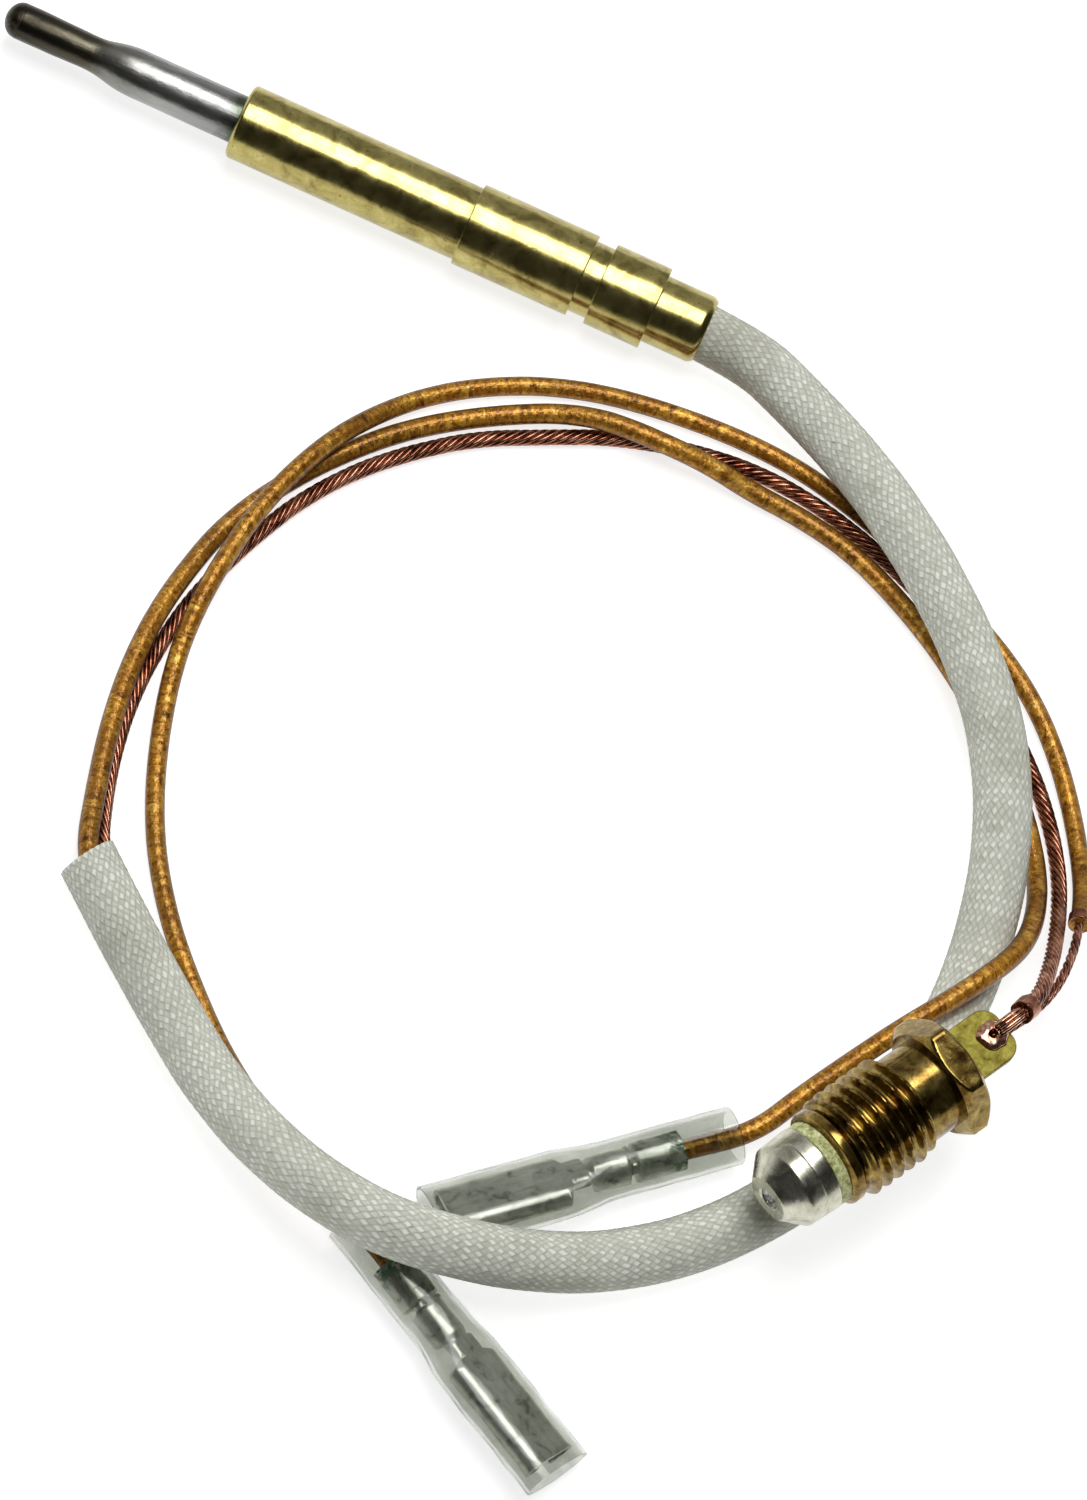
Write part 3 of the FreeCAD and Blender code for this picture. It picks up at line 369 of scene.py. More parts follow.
def braid_paint():
    """Glass-fibre braid: strands over and under each other, with painted shade in the hollows between strands and
    at the edges, and painted highlight dashes on the strands, stronger on one way of them.
    """
    paint = Paint("glass_braid", (0.6, 0.62, 0.54), 0.0, 0.75)
    split = paint.node("SeparateXYZ", {0: paint.wrap()})
    turns = paint.times(split.outputs[0], BRAID_STRANDS)
    run = paint.sum("DIVIDE", split.outputs[1], BRAID_PITCH)
    sway = paint.sum("MULTIPLY_ADD", paint.noise(paint.room(), 0.45, 2.0), 1.7, -0.85)
    crowd = paint.sum("MULTIPLY_ADD", paint.noise(paint.room(), 0.8, 2.0), 1.3, -0.65)
    one = paint.sum("ADD", paint.sum("ADD", turns, run), sway)
    two = paint.sum("ADD", paint.sum("SUBTRACT", turns, run), crowd)
    ways = []
    for way in (one, two):
        ways.append((paint.sum("FLOOR", way), paint.sum("FRACT", way)))
    parity = paint.sum("FLOORED_MODULO", paint.sum("ADD", ways[0][0], ways[1][0]), 2.0)

    def hump(part, power):
        centred = paint.sum("ABSOLUTE", paint.sum("MULTIPLY_ADD", part, 2.0, -1.0))
        return paint.sum("SUBTRACT", 1.0, paint.sum("POWER", centred, power))

    def pick(even, odd):
        return paint.sum("ADD", paint.times(even, paint.sum("SUBTRACT", 1.0, parity)),
                         paint.times(odd, parity))

    width = pick(hump(ways[0][1], 2.4), hump(ways[1][1], 2.4))
    length = pick(hump(ways[1][1], 2.0), hump(ways[0][1], 2.0))
    height = paint.times(paint.sum("POWER", width, 0.6), paint.sum("MULTIPLY_ADD", length, 0.5, 0.5))
    filament = paint.noise(paint.stretched(paint.wrap(), 260.0, 3.5, 1.0), 1.0, 2.0, 0.6)
    cloud = paint.noise(paint.room(), 0.3, 2.0)
    cell = paint.node("CombineXYZ", {0: ways[0][0], 1: ways[1][0]}).outputs[0]
    chance = paint.node("TexWhiteNoise", {"Vector": cell}, noise_dimensions="2D").outputs["Value"]
    # Painted shade: the braid's colour is darker where the strands dip under each other and lighter on their tops.
    base = paint.ramp(height, (0.1, (0.4, 0.415, 0.325)), (0.6, (0.6, 0.615, 0.52)),
                      (1.0, (0.68, 0.695, 0.6)))
    base = paint.mix(0.5, base, paint.ramp(chance, (0.0, (0.52, 0.53, 0.44)), (1.0, (0.74, 0.755, 0.66))))
    # Painted highlight: bright dashes along the raised strands, weaker on one of the two ways of strands, in
    # patches.
    narrow = pick(hump(ways[0][1], 1.3), hump(ways[1][1], 1.3))
    long = pick(hump(ways[1][1], 5.0), hump(ways[0][1], 5.0))
    painted_glint = paint.times(paint.times(narrow, long),
                    paint.sum("SUBTRACT", 1.0, paint.times(parity, 0.6)))
    painted_glint = paint.times(painted_glint, paint.ramp(cloud, (0.35, 0.6), (0.6, 1.0)))
    painted_glint = paint.times(painted_glint, paint.ramp(chance, (0.0, 0.45), (0.4, 1.0)))
    tone = paint.mix(paint.ramp(painted_glint, (0.2, 0.0), (0.75, 0.95)), base, (0.98, 1.0, 0.9))
    tone = paint.mix(0.22, tone, paint.ramp(filament, (0.3, (0.48, 0.49, 0.41)), (0.7, (0.92, 0.93, 0.85))))
    stain = paint.noise(paint.room(), 0.11, 3.0, 0.6)
    tone = paint.mix(paint.ramp(stain, (0.5, 0.0), (0.72, 0.45)), tone, (0.3, 0.3, 0.21))
    # Painted shade: the colour darkens towards the sleeve's edges as seen from the camera.
    facing = paint.node("LayerWeight", {"Blend": 0.5}).outputs["Facing"]
    tone = paint.mix(paint.ramp(facing, (0.5, 0.0), (0.95, 0.5)), tone, (0.24, 0.25, 0.18))
    shape = paint.bump(height, 0.05, 0.9)
    shape = paint.bump(filament, 0.012, 0.8, shape)
    return paint.finish(Base_Color=tone, Normal=shape, Roughness=0.72)


def lead_paint(name, golden, brown, dark):
    """Varnished braid over a lead: amber lacquer, fine cross marks, darker lengths, and painted shade at the
    edges.
    """
    paint = Paint(name, golden, 0.4, 0.4, Coat_Weight=0.15, Coat_Roughness=0.1, Specular_IOR_Level=0.25)
    wrap = paint.wrap()
    split = paint.node("SeparateXYZ", {0: wrap})
    weave = []
    for sign in (1.0, -1.0):
        way = paint.sum("MULTIPLY_ADD", split.outputs[1], sign * 1.3, paint.times(split.outputs[0], 11.0))
        weave.append(paint.sum("SINE", paint.times(way, TURN)))
    cross = paint.sum("MAXIMUM", weave[0], weave[1])
    marks = paint.noise(paint.stretched(wrap, 3.0, 1.5, 1.0), 1.0, 5.0, 0.72, 1.2)
    patch = paint.noise(paint.room(), 0.7, 4.0, 0.62, 0.5)
    length = paint.noise(paint.room(), 0.09, 2.0)
    fine = paint.noise(paint.room(), 4.0, 3.0, 0.7)
    tone = paint.ramp(marks, (0.34, dark), (0.45, brown), (0.55, golden), (0.7, (0.95, 0.6, 0.16)))
    tone = paint.mix(paint.ramp(patch, (0.4, 0.8), (0.58, 0.0)), tone, brown)
    tone = paint.mix(paint.ramp(length, (0.42, 0.35), (0.6, 0.0)), tone, dark)
    tone = paint.mix(paint.ramp(fine, (0.36, 0.6), (0.5, 0.0)), tone, dark)
    # Painted shade: the colour darkens towards the lead's edges as seen from the camera.
    facing = paint.node("LayerWeight", {"Blend": 0.5}).outputs["Facing"]
    tone = paint.mix(paint.ramp(facing, (0.3, 0.0), (0.75, 0.93)), tone, dark)
    shape = paint.bump(cross, 0.008, 0.8)
    shape = paint.bump(marks, 0.035, 0.9, shape)
    shape = paint.bump(fine, 0.015, 0.9, shape)
    rough = paint.sum("MULTIPLY_ADD", marks, 0.35, 0.16)
    return paint.finish(Base_Color=tone, Normal=shape, Roughness=rough, Coat_Normal=shape)


def vinyl_paint(name, tint, smoke):
    """Clear soft vinyl, a little smoky, with faint draw lines."""
    paint = Paint(name, tint, 0.0, 0.08, Transmission_Weight=1.0, IOR=1.33)
    room = paint.room()
    cloud = paint.noise(room, 0.35, 3.0, 0.6)
    tone = paint.mix(paint.ramp(cloud, (0.35, 0.0), (0.7, 1.0)), tint, smoke)
    lines = paint.noise(paint.stretched(paint.wrap(), 1.4, 0.12, 1.0), 1.0, 3.0, 0.6)
    shape = paint.bump(lines, 0.05, 0.5)
    return paint.finish(Base_Color=tone, Normal=shape)


def plain_paint(name, first, second):
    """Two tones of one colour with a grainy surface."""
    paint = Paint(name, first, 0.0, 0.6)
    grain = paint.noise(paint.room(), 1.5, 5.0, 0.65)
    tone = paint.ramp(grain, (0.32, second), (0.62, first))
    rough = paint.sum("MULTIPLY_ADD", grain, 0.3, 0.45)
    return paint.finish(Base_Color=tone, Roughness=rough, Normal=paint.bump(grain, 0.02))


def sheath_paint():
    """Drawn steel tube, browned and blackened towards the tip by the flame, green at the brass."""
    paint = Paint("sheath_steel", (0.36, 0.355, 0.34), 1.0, 0.34)
    wrap, room = paint.wrap(), paint.room()
    split = paint.node("SeparateXYZ", {0: wrap})
    drawn = paint.noise(paint.stretched(wrap, 2.2, 0.22, 1.0), 1.0, 5.0, 0.7, 0.4)
    cloud = paint.noise(room, 0.8, 4.0, 0.6)
    place = paint.sum("ADD", paint.times(split.outputs[1], 1 / 20.0),
                      paint.sum("MULTIPLY_ADD", cloud, 0.12, -0.06))
    tone = paint.ramp(place, (0.1, (0.035, 0.03, 0.02)), (0.34, (0.075, 0.066, 0.045)),
                      (0.43, (0.22, 0.215, 0.19)), (0.62, (0.36, 0.36, 0.345)), (0.88, (0.27, 0.27, 0.265)))
    tone = paint.mix(paint.ramp(drawn, (0.3, 0.45), (0.55, 0.0)), tone, (0.09, 0.09, 0.085))
    tone = paint.mix(paint.ramp(place, (0.87, 0.0), (0.91, 0.8)), tone, (0.055, 0.075, 0.04))
    rough = paint.sum("MULTIPLY_ADD", drawn, 0.3, 0.16)
    shape = paint.bump(cloud, 0.05, 0.8, paint.bump(drawn, 0.02, 0.8))
    return paint.finish(Base_Color=tone, Roughness=rough, Normal=shape)


def washer_paint():
    """Pale green fibre with dark and light specks."""
    paint = Paint("washer_fibre", (0.5, 0.52, 0.22), 0.0, 0.6)
    room = paint.room()
    speckle = paint.noise(room, 2.6, 4.0, 0.7, 0.5)
    dots = paint.node("TexVoronoi", {"Vector": room, "Scale": 2.1}).outputs["Distance"]
    tone = paint.ramp(speckle, (0.35, (0.2, 0.22, 0.05)), (0.47, (0.45, 0.47, 0.17)),
                      (0.6, (0.66, 0.68, 0.36)), (0.75, (0.84, 0.84, 0.6)))
    tone = paint.mix(paint.ramp(dots, (0.12, 0.7), (0.3, 0.0)), tone, (0.85, 0.86, 0.62))
    return paint.finish(Base_Color=tone, Normal=paint.bump(speckle, 0.06, 0.8))


def terminal_paint():
    """Tinned sheet, smudged and dulled, with green corrosion at the insulation crimp."""
    paint = Paint("terminal_metal", (0.7, 0.7, 0.67), 1.0, 0.25)
    wrap, room = paint.wrap(), paint.room()
    split = paint.node("SeparateXYZ", {0: wrap})
    smudge = paint.noise(room, 0.9, 5.0, 0.65, 0.5)
    scratch = paint.noise(paint.stretched(wrap, 3.0, 0.4, 1.0), 1.0, 4.0, 0.7)
    tone = paint.ramp(smudge, (0.34, (0.32, 0.33, 0.28)), (0.46, (0.72, 0.73, 0.67)),
                      (0.62, (0.9, 0.91, 0.86)))
    tone = paint.mix(paint.ramp(scratch, (0.36, 0.3), (0.52, 0.0)), tone, (0.22, 0.22, 0.2))
    patina = paint.noise(room, 2.0, 4.0, 0.65, 0.6)
    near_end = paint.ramp(paint.times(split.outputs[1], 0.05), (0.83, 0.0), (0.9, 1.0))
    green = paint.times(near_end, paint.ramp(patina, (0.44, 0.0), (0.52, 1.0)))
    tone = paint.mix(green, tone, paint.ramp(patina, (0.45, (0.02, 0.12, 0.03)), (0.7, (0.13, 0.4, 0.17))))
    rough = paint.sum("ADD", paint.sum("MULTIPLY_ADD", smudge, 0.3, 0.2), paint.times(green, 0.4))
    shape = paint.bump(smudge, 0.02, 0.9, paint.bump(scratch, 0.003))
    return paint.finish(Base_Color=tone, Roughness=rough, Normal=shape,
                        Metallic=paint.sum("MULTIPLY_ADD", green, -0.5, 0.6))


BRASS = metal("probe_brass", (0.52, 0.45, 0.17), (0.4, 0.34, 0.115), (0.24, 0.19, 0.06), (0.2, 0.34), 1.6,
              line_depth=0.0015, speck=(0.1, 0.075, 0.02))
NUT_BRASS = metal("connector_brass", (0.38, 0.28, 0.085), (0.22, 0.145, 0.034), (0.08, 0.042, 0.012),
                  (0.16, 0.32), 1.0, line_depth=0.002, speck=(0.06, 0.035, 0.01))
TAB_BRASS = metal("tab_brass", (0.34, 0.3, 0.07), (0.2, 0.17, 0.03), (0.09, 0.07, 0.015), (0.5, 0.65), 0.8)
TIN = metal("tinned_metal", (0.68, 0.67, 0.55), (0.52, 0.51, 0.41), (0.3, 0.3, 0.22), (0.2, 0.4), 1.4,
            line_depth=0.002)
SOLDER = metal("solder", (0.7, 0.7, 0.66), (0.45, 0.45, 0.42), (0.14, 0.14, 0.12), (0.25, 0.5), 0.4, pit=0.006)
SCALE_STEEL = metal("scaled_steel", (0.1, 0.085, 0.06), (0.045, 0.038, 0.028), (0.015, 0.013, 0.01), (0.3, 0.5),
                    0.7, pit=0.008)
COPPER = metal("copper", (0.58, 0.29, 0.19), (0.33, 0.135, 0.08), (0.1, 0.03, 0.016), (0.18, 0.4), 1.2,
               turned_marks=False)
BRIGHT_COPPER = metal("tail_copper", (0.95, 0.68, 0.55), (0.6, 0.3, 0.19), (0.16, 0.06, 0.035), (0.15, 0.35), 0.4)
CORE_METAL = metal("core_metal", (0.75, 0.7, 0.62), (0.6, 0.55, 0.48), (0.35, 0.32, 0.27),
                   turned_marks=False)
SHEATH = sheath_paint()
BRAID = braid_paint()
LEAD_PAINT = lead_paint("varnished_braid", (0.72, 0.37, 0.035), (0.4, 0.16, 0.012), (0.06, 0.022, 0.003))
WASHER = washer_paint()
TERMINAL = terminal_paint()
VINYL = vinyl_paint("clear_vinyl", (0.7, 0.715, 0.67), (0.56, 0.58, 0.53))
CERAMIC = plain_paint("ceramic", (0.86, 0.83, 0.76), (0.7, 0.66, 0.58))
FIBRE = plain_paint("insulating_fibre", (0.62, 0.58, 0.47), (0.36, 0.32, 0.24))

# ---------------------------------------------------------------- probe
dome = [(1.12 * (1 - math.cos(turn)), 1.34 * math.sin(turn), 0.05) for turn in np.linspace(0.04, TURN / 4, 14)]
tip_rows = dome + [(1.3, 1.348, 0.02), (1.34, 1.3, 0)]
cap = lathe("weld_cap", tip_rows, SCALE_STEEL, PROBE, 72, ends=(True, False), step=0.12,
            relief=lambda x, a: 0.02 * ripple(1.35 * np.cos(a), x + np.sin(a), 3, 0.9) * (x > 0.05) * (x < 1.1))
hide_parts("hot_junction_cap")

sheath = lathe("sheath", [(1.31, 1.2, 0), (1.3, 1.345, 0.01), (3.0, 1.35, 2.0), (6.4, 1.27, 3.0), (7.4, 1.3, 3.0),
                          (9.4, 1.76, 3.0), (19.5, 1.8, 0)], SHEATH, PROBE, 72, step=0.2,
               relief=lambda x, a: 0.012 * ripple(1.8 * np.cos(a) * 2, x, 5, 2.4))
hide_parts("sensing_sheath")

body = lathe("turned_body", [
    (19.4, 1.83, 0), (18.42, 1.84, 0.05), (18.4, 2.55, 0.06), (18.6, 2.8, 0.1), (36.4, 2.8, 0.03),
    (36.4, 3.1, 0.05), (45.4, 3.1, 0.05), (45.4, 2.7, 0.04), (46.8, 2.7, 0.04), (46.8, 3.1, 0.05),
    (51.1, 3.1, 0.05), (51.1, 2.55, 0.04), (54.75, 2.55, 0.2), (55.1, 2.3, 0.1), (55.1, 2.15, 0.03),
    (50.0, 2.15, 0)], BRASS, PROBE, 144, step=0.25,
    relief=lambda x, a: 0.004 * ripple(3 * np.cos(a), x + 3 * np.sin(a), 8, 1.1))
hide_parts("probe_body")

# ---------------------------------------------------------------- connector
def cone_relief(x, a):
    return 0.008 * ripple(3 * np.cos(a), x + 3 * np.sin(a), 12, 1.6) * (x > 0.05)


cone = lathe("contact", [
    (1.0, 0.5, 0), (0.95, 0.7, 0.1), (0.1, 0.78, 0.1), (0, 0.95, 0.05), (0, 1.72, 0.07), (1.5, 3.1, 0.12),
    (2.62, 3.14, 0.02), (2.66, 3.08, 0.02), (2.72, 3.15, 0.02), (3.85, 3.2, 0.05), (3.9, 3.0, 0)],
    TIN, CONNECTOR, 120, cone_relief, step=0.2)
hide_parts("contact_cone")


def solder_face():
    """The solder in the contact's hole: a sunken, pitted face."""
    radius = np.linspace(0.02, 0.8, 14)
    angle = around(40)
    y, z = radius[:, None] * np.cos(angle), radius[:, None] * np.sin(angle)
    depth = 0.45 + 0.06 * ripple(y, z, 21, 0.5) - 0.28 * (radius[:, None] / 0.8) ** 4
    for pit_y, pit_z, pit in ((0.3, 0.2, 0.28), (-0.32, -0.12, 0.22)):
        depth = depth + 0.4 * np.exp(-((y - pit_y) ** 2 + (z - pit_z) ** 2) / pit ** 2)
    rows = np.stack([depth, y, z], -1)
    return grid("solder_fill", rows, np.linspace(0, 5, 41), radius, SOLDER, CONNECTOR, ends=(True, False))


solder = solder_face()
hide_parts("contact_solder")

washer_edge = [(3.9, 2.0, 0), (3.9, 3.15, 0.08), (4.8, 3.15, 0.08), (4.8, 2.0, 0)]
washer = lathe("fibre_washer", washer_edge, WASHER, CONNECTOR, 120, step=0.1,
               relief=lambda x, a: 0.03 * ripple(3 * a, x, 31, 0.6) * (x > 3.91) * (x < 4.79))
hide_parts("insulating_washer")

TAB_HOLE_AT = 19.6
TAB_LOW, TAB_HIGH = 1.0, 1.8


def tab_part():
    """The tab: a rounded plate with a hole, drawn as rings round the hole."""
    angle = around(96)
    half, end, start, corner = 2.05, 20.8, 16.9, 1.3
    reach = []
    for turn in angle:
        way = np.array([math.cos(turn), math.sin(turn)])
        low, high = 0.0, 6.0
        for _ in range(30):
            middle = (low + high) / 2
            x, y = TAB_HOLE_AT + way[0] * middle, abs(way[1] * middle)
            over_x, over_y = x - (end - corner), y - (half - corner)
            inside = start <= x <= end and y <= half and not (
                over_x > 0 and over_y > 0 and math.hypot(over_x, over_y) > corner)
            low, high = (middle, high) if inside else (low, middle)
        reach.append(low)
    reach = np.array(reach)
    rows = []
    lip, hole = 0.08, 0.7
    for base, grow, z in ((0, 0, TAB_LOW + lip), (0, 0, TAB_HIGH - lip), (0, lip, TAB_HIGH), (1, -lip, TAB_HIGH),
                          (1, 0, TAB_HIGH - lip), (1, 0, TAB_LOW + lip), (1, -lip, TAB_LOW), (0, lip, TAB_LOW),
                          (0, 0, TAB_LOW + lip)):
        radius = (reach if base else hole) + grow
        wave = 0.02 * ripple(angle, z + 0 * angle, 41, 1.0)
        rows.append(np.stack([TAB_HOLE_AT + radius * np.cos(angle), radius * np.sin(angle), z + wave], -1))
    rows = np.array(rows)
    return rows, np.linspace(0, 9, 97), np.arange(len(rows)) * 0.7, True, (False, False)


stem_outline = outline([
    (4.8, 1.4, 0), (4.8, 3.15, 0.05), (5.05, 3.6, 0.08), (5.7, 3.6, 0.1), (5.7, 2.2, 0.05), (17.2, 2.2, 0.1),
    (17.2, 1.35, 0.05), (16.6, 1.35, 0)], 0.3)
stem = grids("stem", [(*turned(stem_outline, 96), True, (False, False))], NUT_BRASS, CONNECTOR)
tab = grids("solder_tab", [tab_part()], TAB_BRASS, CONNECTOR)
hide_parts("connector_stem")

THREAD_PITCH = 1.0
THREAD_OUTSIDE, THREAD_ROOT = 3.95, 3.36
HEX_TURN = math.radians(5.0)


def nut_rows():
    """The threaded part and the plain neck, spun with a helical groove."""
    x = np.concatenate([[5.9, 5.9], np.arange(5.92, 12.6, 0.055), [12.7, 13.2, 13.8, 14.4, 14.5]])
    angle = around(120)
    phase = (x[:, None] - 6.3) / THREAD_PITCH - angle[None, :] / TURN
    part = np.abs(2 * (phase - np.floor(phase)) - 1)
    shape = np.clip((part - 0.16) / 0.76, 0, 1) ** 1.6
    start = np.clip((x[:, None] - 5.9) / 0.55, 0, 1)
    fade = np.clip((12.1 - x[:, None]) / 0.5, 0, 1)
    height = (THREAD_OUTSIDE - THREAD_ROOT) * shape * fade * (0.3 + 0.7 * start)
    radius = THREAD_ROOT + height - 0.25 * (1 - np.clip((x[:, None] - 5.9) / 0.2, 0, 1))
    radius = radius + 0.006 * ripple(3 * angle[None, :], x[:, None], 51, 0.7)
    radius[0] = 2.3
    along = np.broadcast_to(x[:, None], radius.shape)
    rows = np.stack([along, radius * np.cos(angle), radius * np.sin(angle)], -1)
    return rows, np.linspace(0, TURN * 3.9, 121), x, True, (False, False)


def hex_rows():
    """The hexagon with its corners turned off at both ends."""
    x = np.array([14.5, 14.5, 14.51, 14.56, 14.62, 14.7, 14.78, 14.86, 14.95, 15.05, 15.25, 15.5, 15.75, 15.95,
                  16.05, 16.14, 16.22, 16.3, 16.38, 16.44, 16.49, 16.5, 16.5])
    angle = around(240)
    flat = 4.0 / np.cos((angle + TURN / 12) % (TURN / 6) - TURN / 12)
    turn = np.clip(np.minimum(x - 14.5, 16.5 - x), 0, 0.45)
    turned_off = 3.95 + turn * 1.34
    turned_off, flat, soft = turned_off[:, None], flat[None, :], 0.1
    share = np.clip(0.5 + 0.5 * (turned_off - flat) / soft, 0, 1)
    radius = turned_off + (flat - turned_off) * share - soft * share * (1 - share)
    radius[0], radius[-1] = 3.2, 2.25
    rows = np.stack([np.broadcast_to(x[:, None], radius.shape), radius * np.sin(angle - HEX_TURN),
                     radius * np.cos(angle - HEX_TURN)], -1)[:, ::-1]
    return rows, np.linspace(0, TURN * 4.3, 241), x, True, (False, False)


nut = grids("threaded_nut", [nut_rows(), hex_rows()], NUT_BRASS, CONNECTOR, 28.0)
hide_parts("connector_nut")


# ---------------------------------------------------------------- receptacles
def arc(centre, radius, start, end, count):
    """Points on an arc, from one angle to another in degrees."""
    angle = np.radians(np.linspace(start, end, count))
    return np.stack([centre[0] + radius * np.cos(angle), centre[1] + radius * np.sin(angle)], -1)


def even(path, count):
    """A flat path as count points, evenly spaced along it."""
    path = np.array(path, dtype=float)
    distance = run_of(path)
    wanted = np.linspace(0, distance[-1], count)
    return np.stack([np.interp(wanted, distance, path[:, axis]) for axis in range(2)], -1)


SHEET = 0.33
HALF = 30


def section(path):
    """A closed outline of a sheet whose right half follows a path of (across, up) points from its middle."""
    right = even(path, HALF)
    centre = np.concatenate([right[::-1] * (-1, 1), right[1:]])
    way = np.gradient(centre, axis=0)
    way /= np.linalg.norm(way, axis=1)[:, None]
    normal = np.stack([-way[:, 1], way[:, 0]], -1)
    return np.concatenate([centre + normal * SHEET / 2, (centre - normal * SHEET / 2)[::-1]])


def receptacle_shape(number):
    """The folded receptacle: box with rolled edges, neck, wire crimp, insulation crimp."""
    rolled = section(np.concatenate([[(0, -0.775)], arc((1.22, -0.02), 0.755, -90, 118, 30),
                                     [(0.69, 0.42), (0.66, 0.12)]]))
    mouth = section(np.concatenate([[(0, -0.8)], arc((1.25, -0.02), 0.8, -90, 105, 30),
                                    [(0.86, 0.6), (0.74, 0.35)]]))
    channel = section([(0, -0.775), (0.8, -0.775), (0.97, -0.7), (1.03, -0.5), (1.03, -0.2)])
    wire = section(np.concatenate([arc((0, 0), 1.085, -90, 62, 24), [(0.26, 0.86), (0.18, 0.55), (0.17, 0.4)]]))
    jacket = section(np.concatenate([arc((0, 0), 1.235, -90, 80, 24), [(0.14, 1.12), (0.13, 1.0)]]))
    stations = [(1.0, mouth), (1.5, rolled), (9.4, rolled), (10.1, channel), (11.1, channel), (11.75, wire),
                (14.1, wire), (14.35, channel), (14.6, channel), (14.85, jacket), (18.2, jacket)]
    x = np.unique(np.concatenate([np.arange(1.0, 18.2, 0.14), [place for place, _ in stations]]))
    rows = []
    for along in x:
        index = max(i for i, (place, _) in enumerate(stations) if place <= along)
        if index == len(stations) - 1:
            shape = stations[-1][1]
        else:
            (low, first), (high, second) = stations[index], stations[index + 1]
            part = (along - low) / (high - low)
            part = part * part * (3 - 2 * part)
            shape = first * (1 - part) + second * part
        y, z = shape[:, 0], shape[:, 1]
        if 11.6 < along < 18.2:
            flat = 0.035 * ripple(y * 2 + number, np.full_like(y, along), 60 + number, 2.4)
            y, z = y * (1 + flat), z * (1 + flat * 0.8)
        if 3.4 < along < 7.4:
            dent = 0.12 * np.exp(-(((along - 5.6) / 0.5) ** 2 + (y / 0.4) ** 2)) * (z < -0.3)
            z = z + dent
        rows.append(np.stack([np.full_like(y, along), y, z], -1))
    rows = np.array(rows)
    width = rows.shape[1]
    return grid("receptacle_%d" % number, rows, np.linspace(0, 10, width + 1), x, TERMINAL, TERMINALS[number],
                ends=(True, True), sharp=50.0)


def sleeve_shape(number, wrinkle, seed):
    """The clear sleeve: flattened over the receptacle, round over the crimp, with a cut edge at each end."""
    x = np.linspace(0, 22.2, 112)
    angle = around(96)
    taper = np.clip((x - 9.0) / 4.4, 0, 1)
    taper = (taper * taper * (3 - 2 * taper))[:, None]
    half_width = 2.98 + (2.12 - 2.98) * taper
    half_height = 1.72 + (2.12 - 1.72) * taper
    y = np.sign(np.cos(angle)) * np.abs(np.cos(angle)) ** (1 - 0.12 * (1 - taper)) * half_width
    z = np.sign(np.sin(angle)) * np.abs(np.sin(angle)) ** (1 - 0.12 * (1 - taper)) * half_height
    fold = 1 - wrinkle * (0.5 + 0.5 * ripple(x[:, None] + 0 * angle, angle * 3 + 0 * x[:, None], seed, 3.4))
    outer = np.stack([np.broadcast_to(x[:, None], y.shape), y * fold, z * fold], -1)
    wall = 0.28
    reach = np.hypot(outer[..., 1], outer[..., 2])[..., None]
    inner = outer.copy()
    inner[..., 1:] *= 1 - wall / reach
    rows = np.concatenate([outer, inner[::-1], outer[:1]])
    along = np.concatenate([x, x[::-1], [0.0]])
    return grid("clear_sleeve_skin_%d" % number, rows, np.linspace(0, 15, 97), along, VINYL, TERMINALS[number],
                sharp=60.0)


receptacles, sleeves = {}, {}
for number, wrinkle in ((1, 0.03), (2, 0.04)):
    receptacles[number] = receptacle_shape(number)
    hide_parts("spade_receptacle_%d" % number)
    sleeves[number] = sleeve_shape(number, wrinkle, 70 + number)
    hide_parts("clear_sleeve_%d" % number)

# ---------------------------------------------------------------- cords
SLEEVE = [
    (0.02195, 0, 0.0031), (0.0306, 0, 0.0031), (0.036, -0.002, 0.00275), (0.0415, -0.0049, 0.0033),
    (0.0476, -0.0092, 0.0039), (0.0532, -0.0142, 0.00395), (0.0578, -0.0196, 0.00395),
    (0.0609, -0.026, 0.0036), (0.0626, -0.0326, 0.0027), (0.0631, -0.0392, 0.0021),
    (0.0625, -0.0457, 0.0021), (0.0606, -0.052, 0.0021), (0.0574, -0.058, 0.0021),
    (0.0532, -0.0636, 0.0021), (0.048, -0.068, 0.0025), (0.0426, -0.0712, 0.0043),
    (0.0374, -0.0733, 0.0064), (0.032, -0.0742, 0.0072), (0.0266, -0.0732, 0.0066),
    (0.0217, -0.0708, 0.0047), (0.017, -0.0675, 0.0029), (0.0122, -0.0635, 0.0021),
    (0.0079, -0.0601, 0.0021), (0.0039, -0.0567, 0.0021)]
A_START = [(0.00445, 0, 0.0031), (0.01045, 0.0002, 0.0031), (0.01495, 0.00035, 0.0031)]
